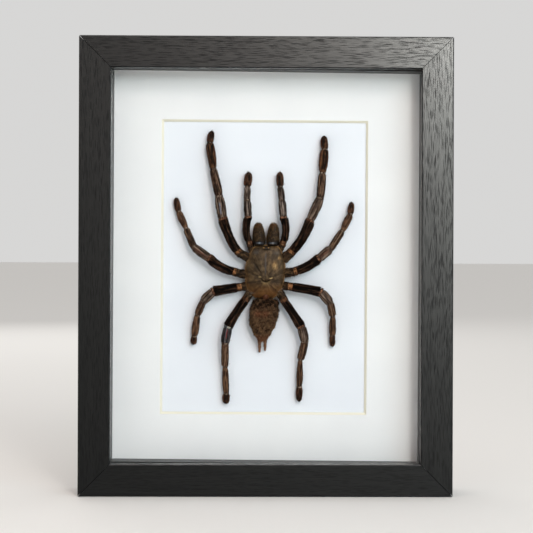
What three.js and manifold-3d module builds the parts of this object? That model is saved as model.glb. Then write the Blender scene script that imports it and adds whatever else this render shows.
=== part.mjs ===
// Framed tarantula specimen: a deep box frame of mitred moulding, glazed, with a bevelled window mount and
// a spread, dried spider glued to the card behind it.
// Millimetres. +X right and +Z up as the frame is looked at, +Y away from the viewer.
// The origin is the middle of the foot of the frame.

import * as THREE from 'three';
import { mergeVertices } from 'three/addons/utils/BufferGeometryUtils.js';
import Module from 'manifold-3d';

// Driving dimensions of the frame.
const frameWidth = 228;
const frameHeight = 280;
const frameDepth = 35;
const faceWidth = 19.5; // of the moulding, outer edge to sight edge
const rebateWidth = 5; // how far the lip covers what it holds
const lipThickness = 5;
const arris = 0.6; // small chamfer along the moulding's front edges
const gap = 0.3; // between pieces that touch
const mitreGap = 0.21; // taken off each end of a rail, along it

// Driving dimensions of what lies in the frame, front to back.
const glassThickness = 2;
const spacerDepth = 12.4;
const mountThickness = 1.4;
const cardThickness = 1.2;
const panelThickness = 3;
const tabThickness = 0.6;

// Sizes across the frame.
const glassClearance = 0.75; // round the pane
const boardClearance = 1; // round mount, card and back panel
const spacerWidth = 3.8;
const sideSpacerLength = 240;
const windowWidth = 125.5; // of the card that shows
const windowHeight = 180.2;
const windowShift = [-1.2, -0.8]; // the window is cut a little off centre

// The strips and the mount were laid in by hand and lie a little out of square, clockwise from the front.
const spacerTurn = THREE.MathUtils.degToRad(0.5);
const sideSpacerTurn = THREE.MathUtils.degToRad(-0.35);
const contentsTurn = THREE.MathUtils.degToRad(0.2);

// Fixings on the back.
const tabSize = [8, 14]; // across and along
const tabSpacing = 0.5; // of the panel's side, between its two tabs
const hangerLength = 45;
const hangerHeight = 9;
const hangerSheet = 0.8;
const hangerRise = 1.6; // how far the toothed part stands off the panel
const hangerFoot = 9;
const hangerTeeth = 13;
const toothDepth = 1.6;
const hangerBelowTop = 32; // from the panel's top edge to the hanger's centre
const pinRadius = 0.9;
const pinHeadRadius = 2.2;
const pinHeadHeight = 0.9;
const pinClearance = 0.3;
const roundSides = 16;

// Worked-out depths, measured from the frame's front face.
const glassFront = lipThickness + gap;
const spacerFront = glassFront + glassThickness + gap;
const mountFront = spacerFront + spacerDepth + gap;
const cardFront = mountFront + mountThickness + gap;
const panelFront = cardFront + cardThickness + gap;
const tabFront = panelFront + panelThickness + gap;

// The rebate's inner width and height, between the walls of the moulding.
const wallWidth = faceWidth - rebateWidth;
const rebateSize = [frameWidth - 2 * wallWidth, frameHeight - 2 * wallWidth];
const sightSize = [frameWidth - 2 * faceWidth, frameHeight - 2 * faceWidth];
const boardSize = rebateSize.map((side) => side - 2 * boardClearance);

// The spider lies with the pit of its carapace here, from the frame's centre.
const spiderPlace = [-0.2, -8.9];

// Joints of each limb in plan, [x, z] from that pit, head towards +Z: where the limb leaves the body, then
// the far end of each of its pieces, from the trochanter to the tip of the tarsus.
const legs = {
  leg_left_1: [[-12, 14.5], [-17.5, 17.5], [-27.5, 38], [-29.5, 51], [-32.5, 68.5], [-34.5, 85], [-34, 93]],
  leg_left_2: [[-14.5, 4], [-19.5, 5], [-35, 13.5], [-44, 20.5], [-49, 32], [-54, 42.5], [-56, 51]],
  leg_left_3: [[-14.5, -4], [-17, -4.5], [-32.5, -7], [-38.5, -13], [-42.5, -21.5], [-44.5, -35], [-45, -40]],
  leg_left_4: [[-10.5, -9], [-12, -12], [-23, -29], [-25, -39], [-25, -53.5], [-24.5, -70.5], [-24.5, -76.5]],
  leg_right_1: [[12.5, 14.5], [16, 17.5], [27.5, 37], [32.5, 51], [34.5, 66.5], [36, 81.5], [35.5, 90]],
  leg_right_2: [[14, 5], [18.5, 5.5], [32.5, 13.5], [39.5, 20], [47, 31], [52, 41.5], [53, 49]],
  leg_right_3: [[13.5, -3.5], [16, -4], [34, -7], [40, -13.5], [41.5, -22], [41.5, -34], [41.5, -41]],
  leg_right_4: [[9.5, -9], [11.5, -12.5], [21.5, -28.5], [24, -37.5], [22, -49], [21, -66], [21, -75]],
};
const palps = {
  palp_left: [[-8.5, 18.5], [-11, 23], [-11.5, 39], [-12, 49.5], [-11.5, 58], [-11, 67.5]],
  palp_right: [[8.5, 19], [11, 23.5], [11, 39], [10, 49.5], [9, 58], [8.5, 67.5]],
};

// How far the middle of a femur bows outwards and back from the line between its joints.
const femurBows = {
  leg_left_1: 1.5, leg_right_1: 2, leg_left_2: 1.5, leg_right_2: 1, palp_left: 1.7, palp_right: 1,
};
const femur = 1; // its place among a limb's pieces

// Heights of those joints above the card, and the widths of the pieces between them.
const legJointHeights = [5.2, 5.8, 8, 7.6, 5, 3.2, 2.6];
const legWidths = [4.6, 5.8, 5.4, 4.6, 4.2, 4];
const palpJointHeights = [4.6, 5, 6.6, 6.4, 5, 3.6];
const palpWidths = [3.6, 4.6, 4.4, 4.3, 4.8];
const jointShare = 0.82; // a joint's width as a share of the narrower piece beside it
const tipShare = 0.55;
const limbSides = 8;

// The body's outlines in plan, from the same pit: [z, left edge, right edge].
const carapaceOutline = [
  [-9.6, -4, 3.6], [-7, -8.6, 7.8], [-2, -11.6, 10.8], [5.4, -12.6, 12],
  [13, -11, 10.9], [19, -8.6, 8.8], [21.6, -7.3, 7.5],
];
const abdomenOutline = [
  [-36.6, -4.4, 0], [-33.6, -6.8, 2.8], [-29, -9.4, 5.8],
  [-20, -10.6, 8.2], [-13, -8.6, 7.6], [-10.2, -3, 2.4],
];
const carapaceHeights = [2, 10.4]; // underside and top, above the card
const abdomenHeights = [1.2, 11.4];
const bodySides = 16;
const bodySquareness = 0.75; // 1 would give an elliptic section, less a boxier one

const cheliceraBase = 22.2; // where the chelicerae start, in z
const cheliceraTop = 35.6;
const cheliceraWidth = 7;
const cheliceraHeights = [2.6, 9.8];
const cheliceraMiddle = 4.4; // from the spider's centre line
// Shares of its length and of its width, from its base to its rounded front.
const cheliceraShape = [[0, 0.85], [0.3, 1], [0.7, 0.9], [0.9, 0.62], [1, 0.3]];

const spinneretBase = -37.2;
const spinneretPlaces = { spinneret_left: [-3.9, -44.6], spinneret_right: [-0.6, -43.4] };
const spinneretWidths = [2, 1.6];
const spinneretHeights = [5, 4, 3];

const glueRadius = 5;
const glueTopShare = 0.8; // of its radius, at the top
const glueForward = 4; // from the pit, towards the head

/** A plain finish: a colour, how rough it is and whether it is metal. */
function finish(color, roughness, metalness = 0) {
  return new THREE.MeshStandardMaterial({ color, roughness, metalness });
}

const blackGrain = finish(0x232426, 0.55);
const clearGlass = finish(0xffffff, 0.02);
clearGlass.transparent = true;
clearGlass.opacity = 0.15;
const blackStrip = finish(0x2c2d30, 0.6);
const whiteBoard = finish(0xf1f1ef, 0.9);
const coolCard = finish(0xe9ecf2, 0.9);
const hardboard = finish(0x8a6a4a, 0.8);
const zincedSteel = finish(0xb4b6b8, 0.4, 1);
const driedGlue = finish(0xe6dfc8, 0.4);
const chitin = finish(0x4a392b, 0.5);
const darkChitin = finish(0x2e2420, 0.45);
const furryBrown = finish(0x4d3c2e, 0.9);

const wasm = await Module();
wasm.setup();

/** Turns a closed three.js geometry into a manifold solid. */
function solidOf(geometry) {
  const bare = geometry.clone();
  bare.deleteAttribute('normal');
  bare.deleteAttribute('uv');
  const merged = mergeVertices(bare, 1e-4);
  return new wasm.Manifold(new wasm.Mesh({
    numProp: 3,
    vertProperties: new Float32Array(merged.attributes.position.array),
    triVerts: new Uint32Array(merged.index.array),
  }));
}

/** Turns a manifold solid back into a three.js geometry. */
function geometryOf(solid) {
  const mesh = solid.getMesh();
  const geometry = new THREE.BufferGeometry();
  geometry.setAttribute('position', new THREE.BufferAttribute(new Float32Array(mesh.vertProperties), 3));
  geometry.setIndex(new THREE.BufferAttribute(new Uint32Array(mesh.triVerts), 1));
  geometry.computeVertexNormals();
  return geometry;
}

/** Names a mesh and gives it its finish. */
function piece(name, geometry, material) {
  const mesh = new THREE.Mesh(geometry, material);
  mesh.name = name;
  return mesh;
}

/** A closed shape from points given in order. */
function outline(points) {
  return new THREE.Shape(points.map(([x, y]) => new THREE.Vector2(x, y)));
}

/** A rectangle about a centre, as a list of corners. */
function corners([width, height], [x, y] = [0, 0]) {
  const [right, top] = [width / 2, height / 2];
  return [[x - right, y - top], [x + right, y - top], [x + right, y + top], [x - right, y + top]];
}

/** Extrudes a shape drawn as seen from the front, so that its front face lies at a depth in the frame. */
function sheetOf(shape, front, thickness) {
  const geometry = new THREE.ExtrudeGeometry(shape, { depth: thickness, bevelEnabled: false });
  geometry.rotateX(Math.PI / 2);
  geometry.translate(0, front + thickness - frameDepth / 2, 0);
  return geometry;
}

/** The section of the moulding: x runs in from the outer edge, y back from the face. */
function mouldingSection() {
  return outline([
    [0, arris], [arris, 0], [faceWidth - arris, 0], [faceWidth, arris],
    [faceWidth, lipThickness], [wallWidth, lipThickness], [wallWidth, frameDepth], [0, frameDepth],
  ]);
}

/** One mitred length of moulding, lying as the bottom rail with its foot at z = 0. */
function mitredLength(length) {
  const geometry = new THREE.ExtrudeGeometry(mouldingSection(), { depth: length, bevelEnabled: false });
  const place = geometry.attributes.position;
  for (let i = 0; i < place.count; i += 1) {
    const inward = place.getX(i);
    const end = place.getZ(i) > length / 2 ? -1 : 1;
    place.setXYZ(i, end * (length / 2 - inward - mitreGap), place.getY(i) - frameDepth / 2, inward);
  }
  return geometry;
}

/** The four mitred sides, each turned from the bottom rail about the frame's centre. */
function buildMoulding() {
  const moulding = new THREE.Group();
  const sides = [
    ['rail_bottom', frameWidth, frameHeight, 0],
    ['stile_left', frameHeight, frameWidth, Math.PI / 2],
    ['rail_top', frameWidth, frameHeight, Math.PI],
    ['stile_right', frameHeight, frameWidth, -Math.PI / 2],
  ];
  for (const [name, length, across, turn] of sides) {
    const geometry = mitredLength(length);
    geometry.translate(0, 0, -across / 2);
    const side = piece(name, geometry, blackGrain);
    side.rotation.y = turn;
    moulding.add(side);
  }
  return moulding;
}

/** The four strips that hold the mount away from the glass. */
function buildSpacers() {
  const spacers = new THREE.Group();
  const across = sightSize[0] / 2 + spacerWidth / 2 + gap;
  const up = sightSize[1] / 2 + spacerWidth / 2;
  const strips = [
    ['spacer_top', sightSize[0] + 2 * spacerWidth, spacerWidth, 0, up, 0],
    ['spacer_bottom', sightSize[0] + 2 * spacerWidth, spacerWidth, 0, -up, 0],
    ['spacer_left', spacerWidth, sideSpacerLength, -across, 0, sideSpacerTurn],
    ['spacer_right', spacerWidth, sideSpacerLength, across, 0, sideSpacerTurn],
  ];
  for (const [name, width, height, x, z, turn] of strips) {
    const strip = piece(name, new THREE.BoxGeometry(width, spacerDepth, height), blackStrip);
    strip.position.set(x, spacerFront + spacerDepth / 2 - frameDepth / 2, z);
    strip.rotation.y = turn;
    spacers.add(strip);
  }
  spacers.rotation.y = spacerTurn;
  return spacers;
}

/** The glass pane. */
function buildGlass() {
  const size = rebateSize.map((side) => side - 2 * glassClearance);
  return piece('glass', sheetOf(outline(corners(size)), glassFront, glassThickness), clearGlass);
}

/** The window mount, its opening bevelled at 45 degrees so that the core shows from the front. */
function buildMount() {
  const shape = outline(corners(boardSize));
  shape.holes.push(outline(corners([windowWidth, windowHeight], windowShift)));
  const geometry = sheetOf(shape, mountFront, mountThickness);
  const place = geometry.attributes.position;
  const frontY = mountFront - frameDepth / 2;
  for (let i = 0; i < place.count; i += 1) {
    const x = place.getX(i) - windowShift[0];
    const z = place.getZ(i) - windowShift[1];
    const onWindow = Math.abs(x) < windowWidth / 2 + gap && Math.abs(z) < windowHeight / 2 + gap;
    if (onWindow && Math.abs(place.getY(i) - frontY) < gap) {
      place.setX(i, place.getX(i) + Math.sign(x) * mountThickness);
      place.setZ(i, place.getZ(i) + Math.sign(z) * mountThickness);
    }
  }
  return piece('window_mount', geometry, whiteBoard);
}

/** The card that the spider is glued to. */
function buildCard() {
  return piece('backing_card', sheetOf(outline(corners(boardSize)), cardFront, cardThickness), coolCard);
}

/** Where the hanger's two pins go, from the frame's centre. */
function pinPlaces() {
  const z = boardSize[1] / 2 - hangerBelowTop;
  const x = hangerLength / 2 - hangerFoot / 2;
  return { hanger_pin_left: [-x, z], hanger_pin_right: [x, z] };
}

/** A round bar that stands out of the back, from one depth in the frame to another. */
function backBar(radius, from, to, [x, z]) {
  const bar = new THREE.CylinderGeometry(radius, radius, to - from, roundSides);
  bar.translate(x, (from + to) / 2 - frameDepth / 2, z);
  return bar;
}

/** The back panel, with a hole for each of the hanger's pins. */
function buildPanel() {
  let solid = solidOf(sheetOf(outline(corners(boardSize)), panelFront, panelThickness));
  for (const place of Object.values(pinPlaces())) {
    const drill = backBar(pinRadius + pinClearance, panelFront - 1, tabFront + 1, place);
    solid = solid.subtract(solidOf(drill));
  }
  return piece('back_panel', geometryOf(solid), hardboard);
}

/** The flat tabs bent over the back panel, two on each side. */
function buildTabs() {
  const tabs = new THREE.Group();
  const [width, reach] = tabSize;
  const sides = [
    ['bottom', boardSize[0], rebateSize[1], 0],
    ['left', boardSize[1], rebateSize[0], Math.PI / 2],
    ['top', boardSize[0], rebateSize[1], Math.PI],
    ['right', boardSize[1], rebateSize[0], -Math.PI / 2],
  ];
  for (const [side, length, across, turn] of sides) {
    for (const [number, way] of [[1, -1], [2, 1]]) {
      const geometry = new THREE.BoxGeometry(width, tabThickness, reach);
      const x = way * length * tabSpacing / 2;
      const z = -across / 2 + gap + reach / 2;
      geometry.translate(x, tabFront + tabThickness / 2 - frameDepth / 2, z);
      const tab = piece(`tab_${side}_${number}`, geometry, zincedSteel);
      tab.rotation.y = turn;
      tabs.add(tab);
    }
  }
  return tabs;
}

/** The toothed edge of the hanger, from left to right. */
function toothedEdge(from, to, low) {
  const edge = [];
  const pitch = (to - from) / hangerTeeth;
  for (let tooth = 0; tooth < hangerTeeth; tooth += 1) {
    edge.push([from + tooth * pitch, low], [from + (tooth + 0.5) * pitch, low + toothDepth]);
  }
  edge.push([to, low]);
  return edge;
}

/** The sawtooth hanger: two feet on the panel and a toothed bar that stands off it for a nail. */
function buildHanger() {
  const [halfLength, halfHeight] = [hangerLength / 2, hangerHeight / 2];
  const z = boardSize[1] / 2 - hangerBelowTop;
  const barEnd = halfLength - hangerFoot;
  const barPoints = toothedEdge(-barEnd, barEnd, -halfHeight).concat([
    [barEnd + hangerSheet, -halfHeight], [barEnd + hangerSheet, halfHeight],
    [-barEnd - hangerSheet, halfHeight], [-barEnd - hangerSheet, -halfHeight],
  ]);
  const barGeometry = sheetOf(outline(barPoints), tabFront + hangerRise, hangerSheet);
  barGeometry.translate(0, 0, z);
  let solid = solidOf(barGeometry);
  for (const way of [-1, 1]) {
    const foot = new THREE.BoxGeometry(hangerFoot, hangerSheet, hangerHeight);
    foot.translate(way * (halfLength - hangerFoot / 2), tabFront + hangerSheet / 2 - frameDepth / 2, z);
    const riser = new THREE.BoxGeometry(hangerSheet, hangerRise + hangerSheet, hangerHeight);
    const riserMiddle = tabFront + (hangerRise + hangerSheet) / 2;
    riser.translate(way * (barEnd + hangerSheet / 2), riserMiddle - frameDepth / 2, z);
    solid = solid.add(solidOf(foot)).add(solidOf(riser));
  }
  for (const place of Object.values(pinPlaces())) {
    const drill = backBar(pinRadius + pinClearance, tabFront - 1, tabFront + hangerSheet + 1, place);
    solid = solid.subtract(solidOf(drill));
  }
  return piece('hanger', geometryOf(solid), zincedSteel);
}

/** The hanger's pins: a shank through foot and panel, and a low round head. */
function buildPins() {
  const pins = new THREE.Group();
  const headBase = tabFront + hangerSheet + gap;
  for (const [name, [x, z]] of Object.entries(pinPlaces())) {
    const profile = [
      [0, panelFront], [pinRadius, panelFront], [pinRadius, headBase], [pinHeadRadius, headBase],
      [pinHeadRadius - pinRadius / 2, headBase + pinHeadHeight / 2], [0, headBase + pinHeadHeight],
    ].map(([radius, depth]) => new THREE.Vector2(radius, depth - frameDepth / 2));
    const pin = piece(name, new THREE.LatheGeometry(profile, roundSides), zincedSteel);
    pin.position.set(x, 0, z);
    pins.add(pin);
  }
  return pins;
}

/** Closes a stack of rings, each a list of the same number of points, into one solid skin. */
function skinOf(rings) {
  const sides = rings[0].length;
  const points = rings.flat();
  const faces = [];
  for (let ring = 0; ring + 1 < rings.length; ring += 1) {
    for (let side = 0; side < sides; side += 1) {
      const next = (side + 1) % sides;
      const [a, b] = [ring * sides + side, ring * sides + next];
      faces.push(a, b, b + sides, a, b + sides, a + sides);
    }
  }
  const last = (rings.length - 1) * sides;
  for (let side = 1; side + 1 < sides; side += 1) {
    faces.push(0, side + 1, side, last, last + side, last + side + 1);
  }
  const geometry = new THREE.BufferGeometry().setFromPoints(points);
  geometry.setIndex(faces);
  geometry.computeVertexNormals();
  return geometry;
}

/** A ring of points round a place on a limb, square to the way the limb runs there. */
function limbRing(centre, along, radius) {
  const up = new THREE.Vector3(0, -1, 0);
  const across = new THREE.Vector3().crossVectors(along, up).normalize();
  const lift = new THREE.Vector3().crossVectors(across, along).normalize();
  const ring = [];
  for (let side = 0; side < limbSides; side += 1) {
    const turn = (side / limbSides) * 2 * Math.PI;
    const point = centre.clone();
    point.addScaledVector(across, -radius * Math.cos(turn)).addScaledVector(lift, radius * Math.sin(turn));
    ring.push(point);
  }
  return ring;
}

/** The middle of a limb's piece, moved out to the side by its bow. */
function middleOf(from, to, bow) {
  const side = from.x < 0 ? 1 : -1;
  const outwards = new THREE.Vector3(from.z - to.z, 0, to.x - from.x).normalize();
  return from.clone().lerp(to, 0.5).addScaledVector(outwards, side * bow);
}

/** A jointed limb: swollen in the middle of each piece and narrow at its joints. */
function limb(plan, heights, widths, femurBow = 0) {
  const joints = plan.map(([x, z], i) => new THREE.Vector3(x, -heights[i], z));
  const rings = [];
  const last = joints.length - 1;
  for (let i = 0; i <= last; i += 1) {
    const before = joints[Math.max(i - 1, 0)];
    const after = joints[Math.min(i + 1, last)];
    const along = after.clone().sub(before).normalize();
    const narrow = Math.min(widths[Math.max(i - 1, 0)], widths[Math.min(i, last - 1)]);
    const share = i === last ? tipShare : jointShare;
    rings.push(limbRing(joints[i], along, (narrow * share) / 2));
    if (i < last) {
      const middle = middleOf(joints[i], joints[i + 1], i === femur ? femurBow : 0);
      const way = joints[i + 1].clone().sub(joints[i]).normalize();
      rings.push(limbRing(middle, way, widths[i] / 2));
    }
  }
  return skinOf(rings);
}

/** A body lobe that follows an outline in plan, domed above and flatter below. */
function lobe(edges, [low, high]) {
  const middle = (low + high) / 2;
  const broadest = Math.max(...edges.map(([, left, right]) => right - left));
  return skinOf(edges.map(([z, left, right]) => {
    const share = Math.sqrt((right - left) / broadest);
    const ring = [];
    for (let side = 0; side < bodySides; side += 1) {
      const turn = (side / bodySides) * 2 * Math.PI;
      const across = Math.sign(Math.cos(turn)) * Math.abs(Math.cos(turn)) ** bodySquareness;
      const lift = Math.sign(Math.sin(turn)) * Math.abs(Math.sin(turn)) ** bodySquareness;
      const x = (left + right) / 2 - (across * (right - left)) / 2;
      ring.push(new THREE.Vector3(x, -middle - (lift * share * (high - low)) / 2, z));
    }
    return ring;
  }));
}

/** A leg or palp, with the space of the body taken off its inner end. */
function bodyLimb(name, plan, heights, widths, bodySpace) {
  const whole = limb(plan, heights, widths, femurBows[name]);
  return piece(name, geometryOf(solidOf(whole).subtract(bodySpace)), darkChitin);
}

/** The space that the limbs keep out of: the prosoma, swollen by the gap on every side. */
function spaceOfProsoma() {
  const edges = carapaceOutline.map(([z, left, right]) => [z, left - gap, right + gap]);
  edges[0][0] -= gap;
  edges[edges.length - 1][0] += gap;
  return solidOf(lobe(edges, [carapaceHeights[0] - gap, carapaceHeights[1] + gap]));
}

/** One chelicera: a stout rounded lobe in front of the carapace. */
function chelicera(side) {
  const x = side * cheliceraMiddle;
  const half = cheliceraWidth / 2;
  const length = cheliceraTop - cheliceraBase;
  return lobe(cheliceraShape.map(([along, share]) => [
    cheliceraBase + along * length, x - half * share, x + half * share,
  ]), cheliceraHeights);
}

/** One spinneret: a thin tapered finger behind the abdomen. */
function spinneret([tipX, tipZ]) {
  const plan = [[tipX, spinneretBase], [tipX, (spinneretBase + tipZ) / 2], [tipX, tipZ]];
  return limb(plan, spinneretHeights, spinneretWidths);
}

/** The dab of glue between the underside of the body and the card. */
function glueDab() {
  const top = carapaceHeights[0] - gap;
  const profile = [[0, gap], [glueRadius, gap], [glueRadius * glueTopShare, top], [0, top]];
  const points = profile.map(([radius, height]) => new THREE.Vector2(radius, height));
  const geometry = new THREE.LatheGeometry(points, roundSides);
  geometry.rotateX(Math.PI);
  geometry.translate(0, 0, glueForward);
  return geometry;
}

/** The spider, built from the pit of its carapace on the front face of the card. */
function buildSpider() {
  const spider = new THREE.Group();
  spider.add(piece('prosoma', lobe(carapaceOutline, carapaceHeights), chitin));
  spider.add(piece('abdomen', lobe(abdomenOutline, abdomenHeights), furryBrown));
  spider.add(piece('chelicera_left', chelicera(-1), chitin));
  spider.add(piece('chelicera_right', chelicera(1), chitin));
  spider.add(piece('glue_dab', glueDab(), driedGlue));
  const bodySpace = spaceOfProsoma();
  for (const [name, plan] of Object.entries(legs)) {
    spider.add(bodyLimb(name, plan, legJointHeights, legWidths, bodySpace));
  }
  for (const [name, plan] of Object.entries(palps)) {
    spider.add(bodyLimb(name, plan, palpJointHeights, palpWidths, bodySpace));
  }
  for (const [name, tip] of Object.entries(spinneretPlaces)) {
    spider.add(piece(name, spinneret(tip), furryBrown));
  }
  spider.position.set(spiderPlace[0], cardFront - frameDepth / 2, spiderPlace[1]);
  return spider;
}

/** Everything that was laid in behind the glass. */
function buildContents() {
  const contents = new THREE.Group();
  contents.add(buildMount(), buildCard(), buildSpider());
  contents.rotation.y = contentsTurn;
  return contents;
}

const framedSpecimen = new THREE.Group();
framedSpecimen.add(buildMoulding(), buildGlass(), buildSpacers(), buildContents());
framedSpecimen.add(buildPanel(), buildTabs(), buildHanger(), buildPins());
framedSpecimen.position.set(0, 0, frameHeight / 2);
framedSpecimen.updateMatrixWorld(true);

export default framedSpecimen;
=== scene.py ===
"""Framed tarantula specimen: finishes for the made frame, and the dried spider modelled in full.

Metres in the frame's own axes. The spider is drawn in millimetres on its card: X to the right, Y towards
the head and Z away from the card, with the origin at the pit in the middle of the carapace.
"""

import logging
import math
from collections.abc import Callable, Iterable
from dataclasses import dataclass, replace
from enum import Enum
from functools import cache, reduce
from itertools import pairwise
from typing import Any

import bpy
import numpy as np
from mathutils import Matrix, Vector


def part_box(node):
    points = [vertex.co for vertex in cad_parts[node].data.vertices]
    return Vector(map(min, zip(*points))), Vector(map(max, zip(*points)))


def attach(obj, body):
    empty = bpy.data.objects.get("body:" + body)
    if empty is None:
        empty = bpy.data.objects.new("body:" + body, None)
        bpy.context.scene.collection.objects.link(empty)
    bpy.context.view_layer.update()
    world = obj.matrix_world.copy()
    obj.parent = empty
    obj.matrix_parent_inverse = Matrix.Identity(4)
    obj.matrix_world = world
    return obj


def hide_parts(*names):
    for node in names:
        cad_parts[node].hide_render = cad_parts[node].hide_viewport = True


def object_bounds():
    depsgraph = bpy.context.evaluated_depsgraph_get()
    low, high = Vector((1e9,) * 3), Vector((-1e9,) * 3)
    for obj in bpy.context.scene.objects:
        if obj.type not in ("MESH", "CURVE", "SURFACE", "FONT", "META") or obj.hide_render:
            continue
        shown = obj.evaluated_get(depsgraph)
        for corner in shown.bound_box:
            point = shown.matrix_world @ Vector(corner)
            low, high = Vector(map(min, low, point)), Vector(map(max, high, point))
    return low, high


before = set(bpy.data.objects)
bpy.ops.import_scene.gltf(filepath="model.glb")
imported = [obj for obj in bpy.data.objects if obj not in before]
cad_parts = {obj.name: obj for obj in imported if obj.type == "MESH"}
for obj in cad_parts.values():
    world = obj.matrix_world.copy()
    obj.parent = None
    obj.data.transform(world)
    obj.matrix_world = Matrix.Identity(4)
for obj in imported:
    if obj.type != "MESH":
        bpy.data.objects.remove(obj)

LOG = logging.getLogger("specimen")
CAD_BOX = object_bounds()
MM = 0.001
NOISE_SPAN = (0.3, 0.7)  # where nearly all of the cloud noise lies
PORE_STRETCH = (125.0, 2050.0, 2050.0)  # per metre, along the grain and across it
TOOTH_STRETCH = (260.0, 2600.0, 2600.0)
LINE_STRETCH = (40.0, 1300.0, 1300.0)

Colour = tuple[float, float, float, float]
Outline = tuple[tuple[float, float, float], ...]
Body = bpy.types.Object
Mesh = bpy.types.Mesh
Material = bpy.types.Material
Socket = bpy.types.NodeSocket


def shade(red: int, green: int, blue: int) -> Colour:
    """Turns a screen colour into the linear colour that a shader takes.

    Args:
        red: 0 to 255, as are the others.
        green: The green part.
        blue: The blue part.

    Returns:
        The linear colour, opaque.
    """
    parts = (part / 255 for part in (red, green, blue))
    linear = (part / 12.92 if part <= 0.04045 else ((part + 0.055) / 1.055) ** 2.4 for part in parts)
    return (*linear, 1.0)


# ---------------------------------------------------------------- wiring of materials


class Wiring:
    """Adds nodes to one node tree and joins them."""

    def __init__(self, tree: bpy.types.NodeTree) -> None:
        """Keeps the tree that the nodes go into."""
        self.tree = tree

    def node(self, kind: str, inputs: dict[str | int, Any] | None = None, **settings: Any) -> bpy.types.Node:
        """Adds a node.

        Args:
            kind: The node's type name.
            inputs: A value or a socket for each input, by its name or number.
            settings: Properties of the node itself.

        Returns:
            The new node.
        """
        made = self.tree.nodes.new(kind)
        for name, value in settings.items():
            setattr(made, name, value)
        for key, value in (inputs or {}).items():
            self.feed(made.inputs[key], value)
        return made

    def first_of(self, kind: str, inputs: dict[str | int, Any], **settings: Any) -> Socket:
        """Adds a node and gives its first output."""
        return self.node(kind, inputs, **settings).outputs[0]

    def feed(self, socket: Socket, value: Any) -> None:
        """Links a socket, or sets a plain value, on an input.

        Args:
            socket: The input.
            value: The socket that it is linked with, or its plain value.
        """
        if isinstance(value, Socket):
            self.tree.links.new(value, socket)
        else:
            socket.default_value = value

    def maths(self, operation: str, first: Any, second: Any = 0.0) -> Socket:
        """Works out one sum of two values."""
        return self.first_of("ShaderNodeMath", {0: first, 1: second}, operation=operation)

    def plus(self, first: Any, second: Any) -> Socket:
        """Adds two values."""
        return self.maths("ADD", first, second)

    def times(self, *values: Any) -> Socket:
        """Multiplies values, from the first on."""
        return reduce(lambda first, second: self.maths("MULTIPLY", first, second), values)

    def off(self, value: Any, middle: float) -> Socket:
        """How far a value lies from a middle."""
        return self.maths("ABSOLUTE", self.maths("SUBTRACT", value, middle))

    def scaled(self, vector: Any, scale: Any) -> Socket:
        """Multiplies a vector by another, part by part."""
        return self.first_of("ShaderNodeVectorMath", {0: vector, 1: scale}, operation="MULTIPLY")

    def mix(self, share: Any, first: Any, second: Any) -> Socket:
        """Mixes two colours.

        Args:
            share: How much of the second colour shows.
            first: The first colour.
            second: The second colour.

        Returns:
            The mixed colour.
        """
        made = self.node("ShaderNodeMix", data_type="RGBA")
        under, over = (socket for socket in made.inputs if socket.type == "RGBA")
        for socket, value in ((made.inputs[0], share), (under, first), (over, second)):
            self.feed(socket, value)
        return next(socket for socket in made.outputs if socket.type == "RGBA")

    def layered(self, colour: Any, *layers: tuple[Any, Any]) -> Socket:
        """Lays colours over a first one, from pairs of a share and a colour."""
        return reduce(lambda under, layer: self.mix(layer[0], under, layer[1]), layers, colour)

    def ramp(self, value: Any, *stops: tuple[float, Colour]) -> Socket:
        """Turns a value into a colour by way of colour stops.

        Args:
            value: The value, 0 to 1.
            stops: Pairs of a place and a colour, in order.

        Returns:
            The colour.
        """
        made = self.node("ShaderNodeValToRGB", {0: value})
        points = made.color_ramp.elements
        while len(points) < len(stops):
            points.new(0.5)
        for point, (place, colour) in zip(points, stops):
            point.position = place
            point.color = colour
        return made.outputs[0]

    def span(self, value: Any, low: float, high: float, first: float = 0.0, last: float = 1.0) -> Socket:
        """Maps a value smoothly from one span to another, clamped."""
        inputs = {0: value, 1: low, 2: high, 3: first, 4: last}
        return self.first_of("ShaderNodeMapRange", inputs, interpolation_type="SMOOTHSTEP")

    def noise(self, vector: Any, scale: float = 1.0, detail: float = 2.0) -> Socket:
        """Cloud noise, near 0.5 on average."""
        return self.first_of("ShaderNodeTexNoise", {"Vector": vector, "Scale": scale, "Detail": detail})

    def cells(self, vector: Any, scale: float = 1.0) -> Socket:
        """The distance to the middle of the nearest of many scattered cells."""
        return self.first_of("ShaderNodeTexVoronoi", {"Vector": vector, "Scale": scale})

    def bump(self, height: Any, distance: float, strength: float = 1.0) -> Socket:
        """Turns a height into a normal; the distance is in millimetres."""
        inputs = {"Height": height, "Distance": distance * MM, "Strength": strength}
        return self.first_of("ShaderNodeBump", inputs)

    def attribute(self, name: str) -> Socket:
        """Reads a vector that is stored on the mesh."""
        return self.node("ShaderNodeAttribute", attribute_name=name).outputs["Vector"]

    def place(self) -> Socket:
        """The place on the object, in metres."""
        return self.node("ShaderNodeTexCoord").outputs["Object"]

    def parts(self, vector: Any) -> list[Socket]:
        """Splits a vector in its three values."""
        return list(self.node("ShaderNodeSeparateXYZ", {0: vector}).outputs)

    def joined(self, first: Any, second: Any, third: Any) -> Socket:
        """Joins three values in a vector."""
        return self.first_of("ShaderNodeCombineXYZ", {0: first, 1: second, 2: third})

    def shared(self, tree: bpy.types.NodeTree, **inputs: Any) -> Any:
        """Places a shader node group and gives its outputs, by name."""
        return self.node("ShaderNodeGroup", inputs, node_tree=tree).outputs


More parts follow.
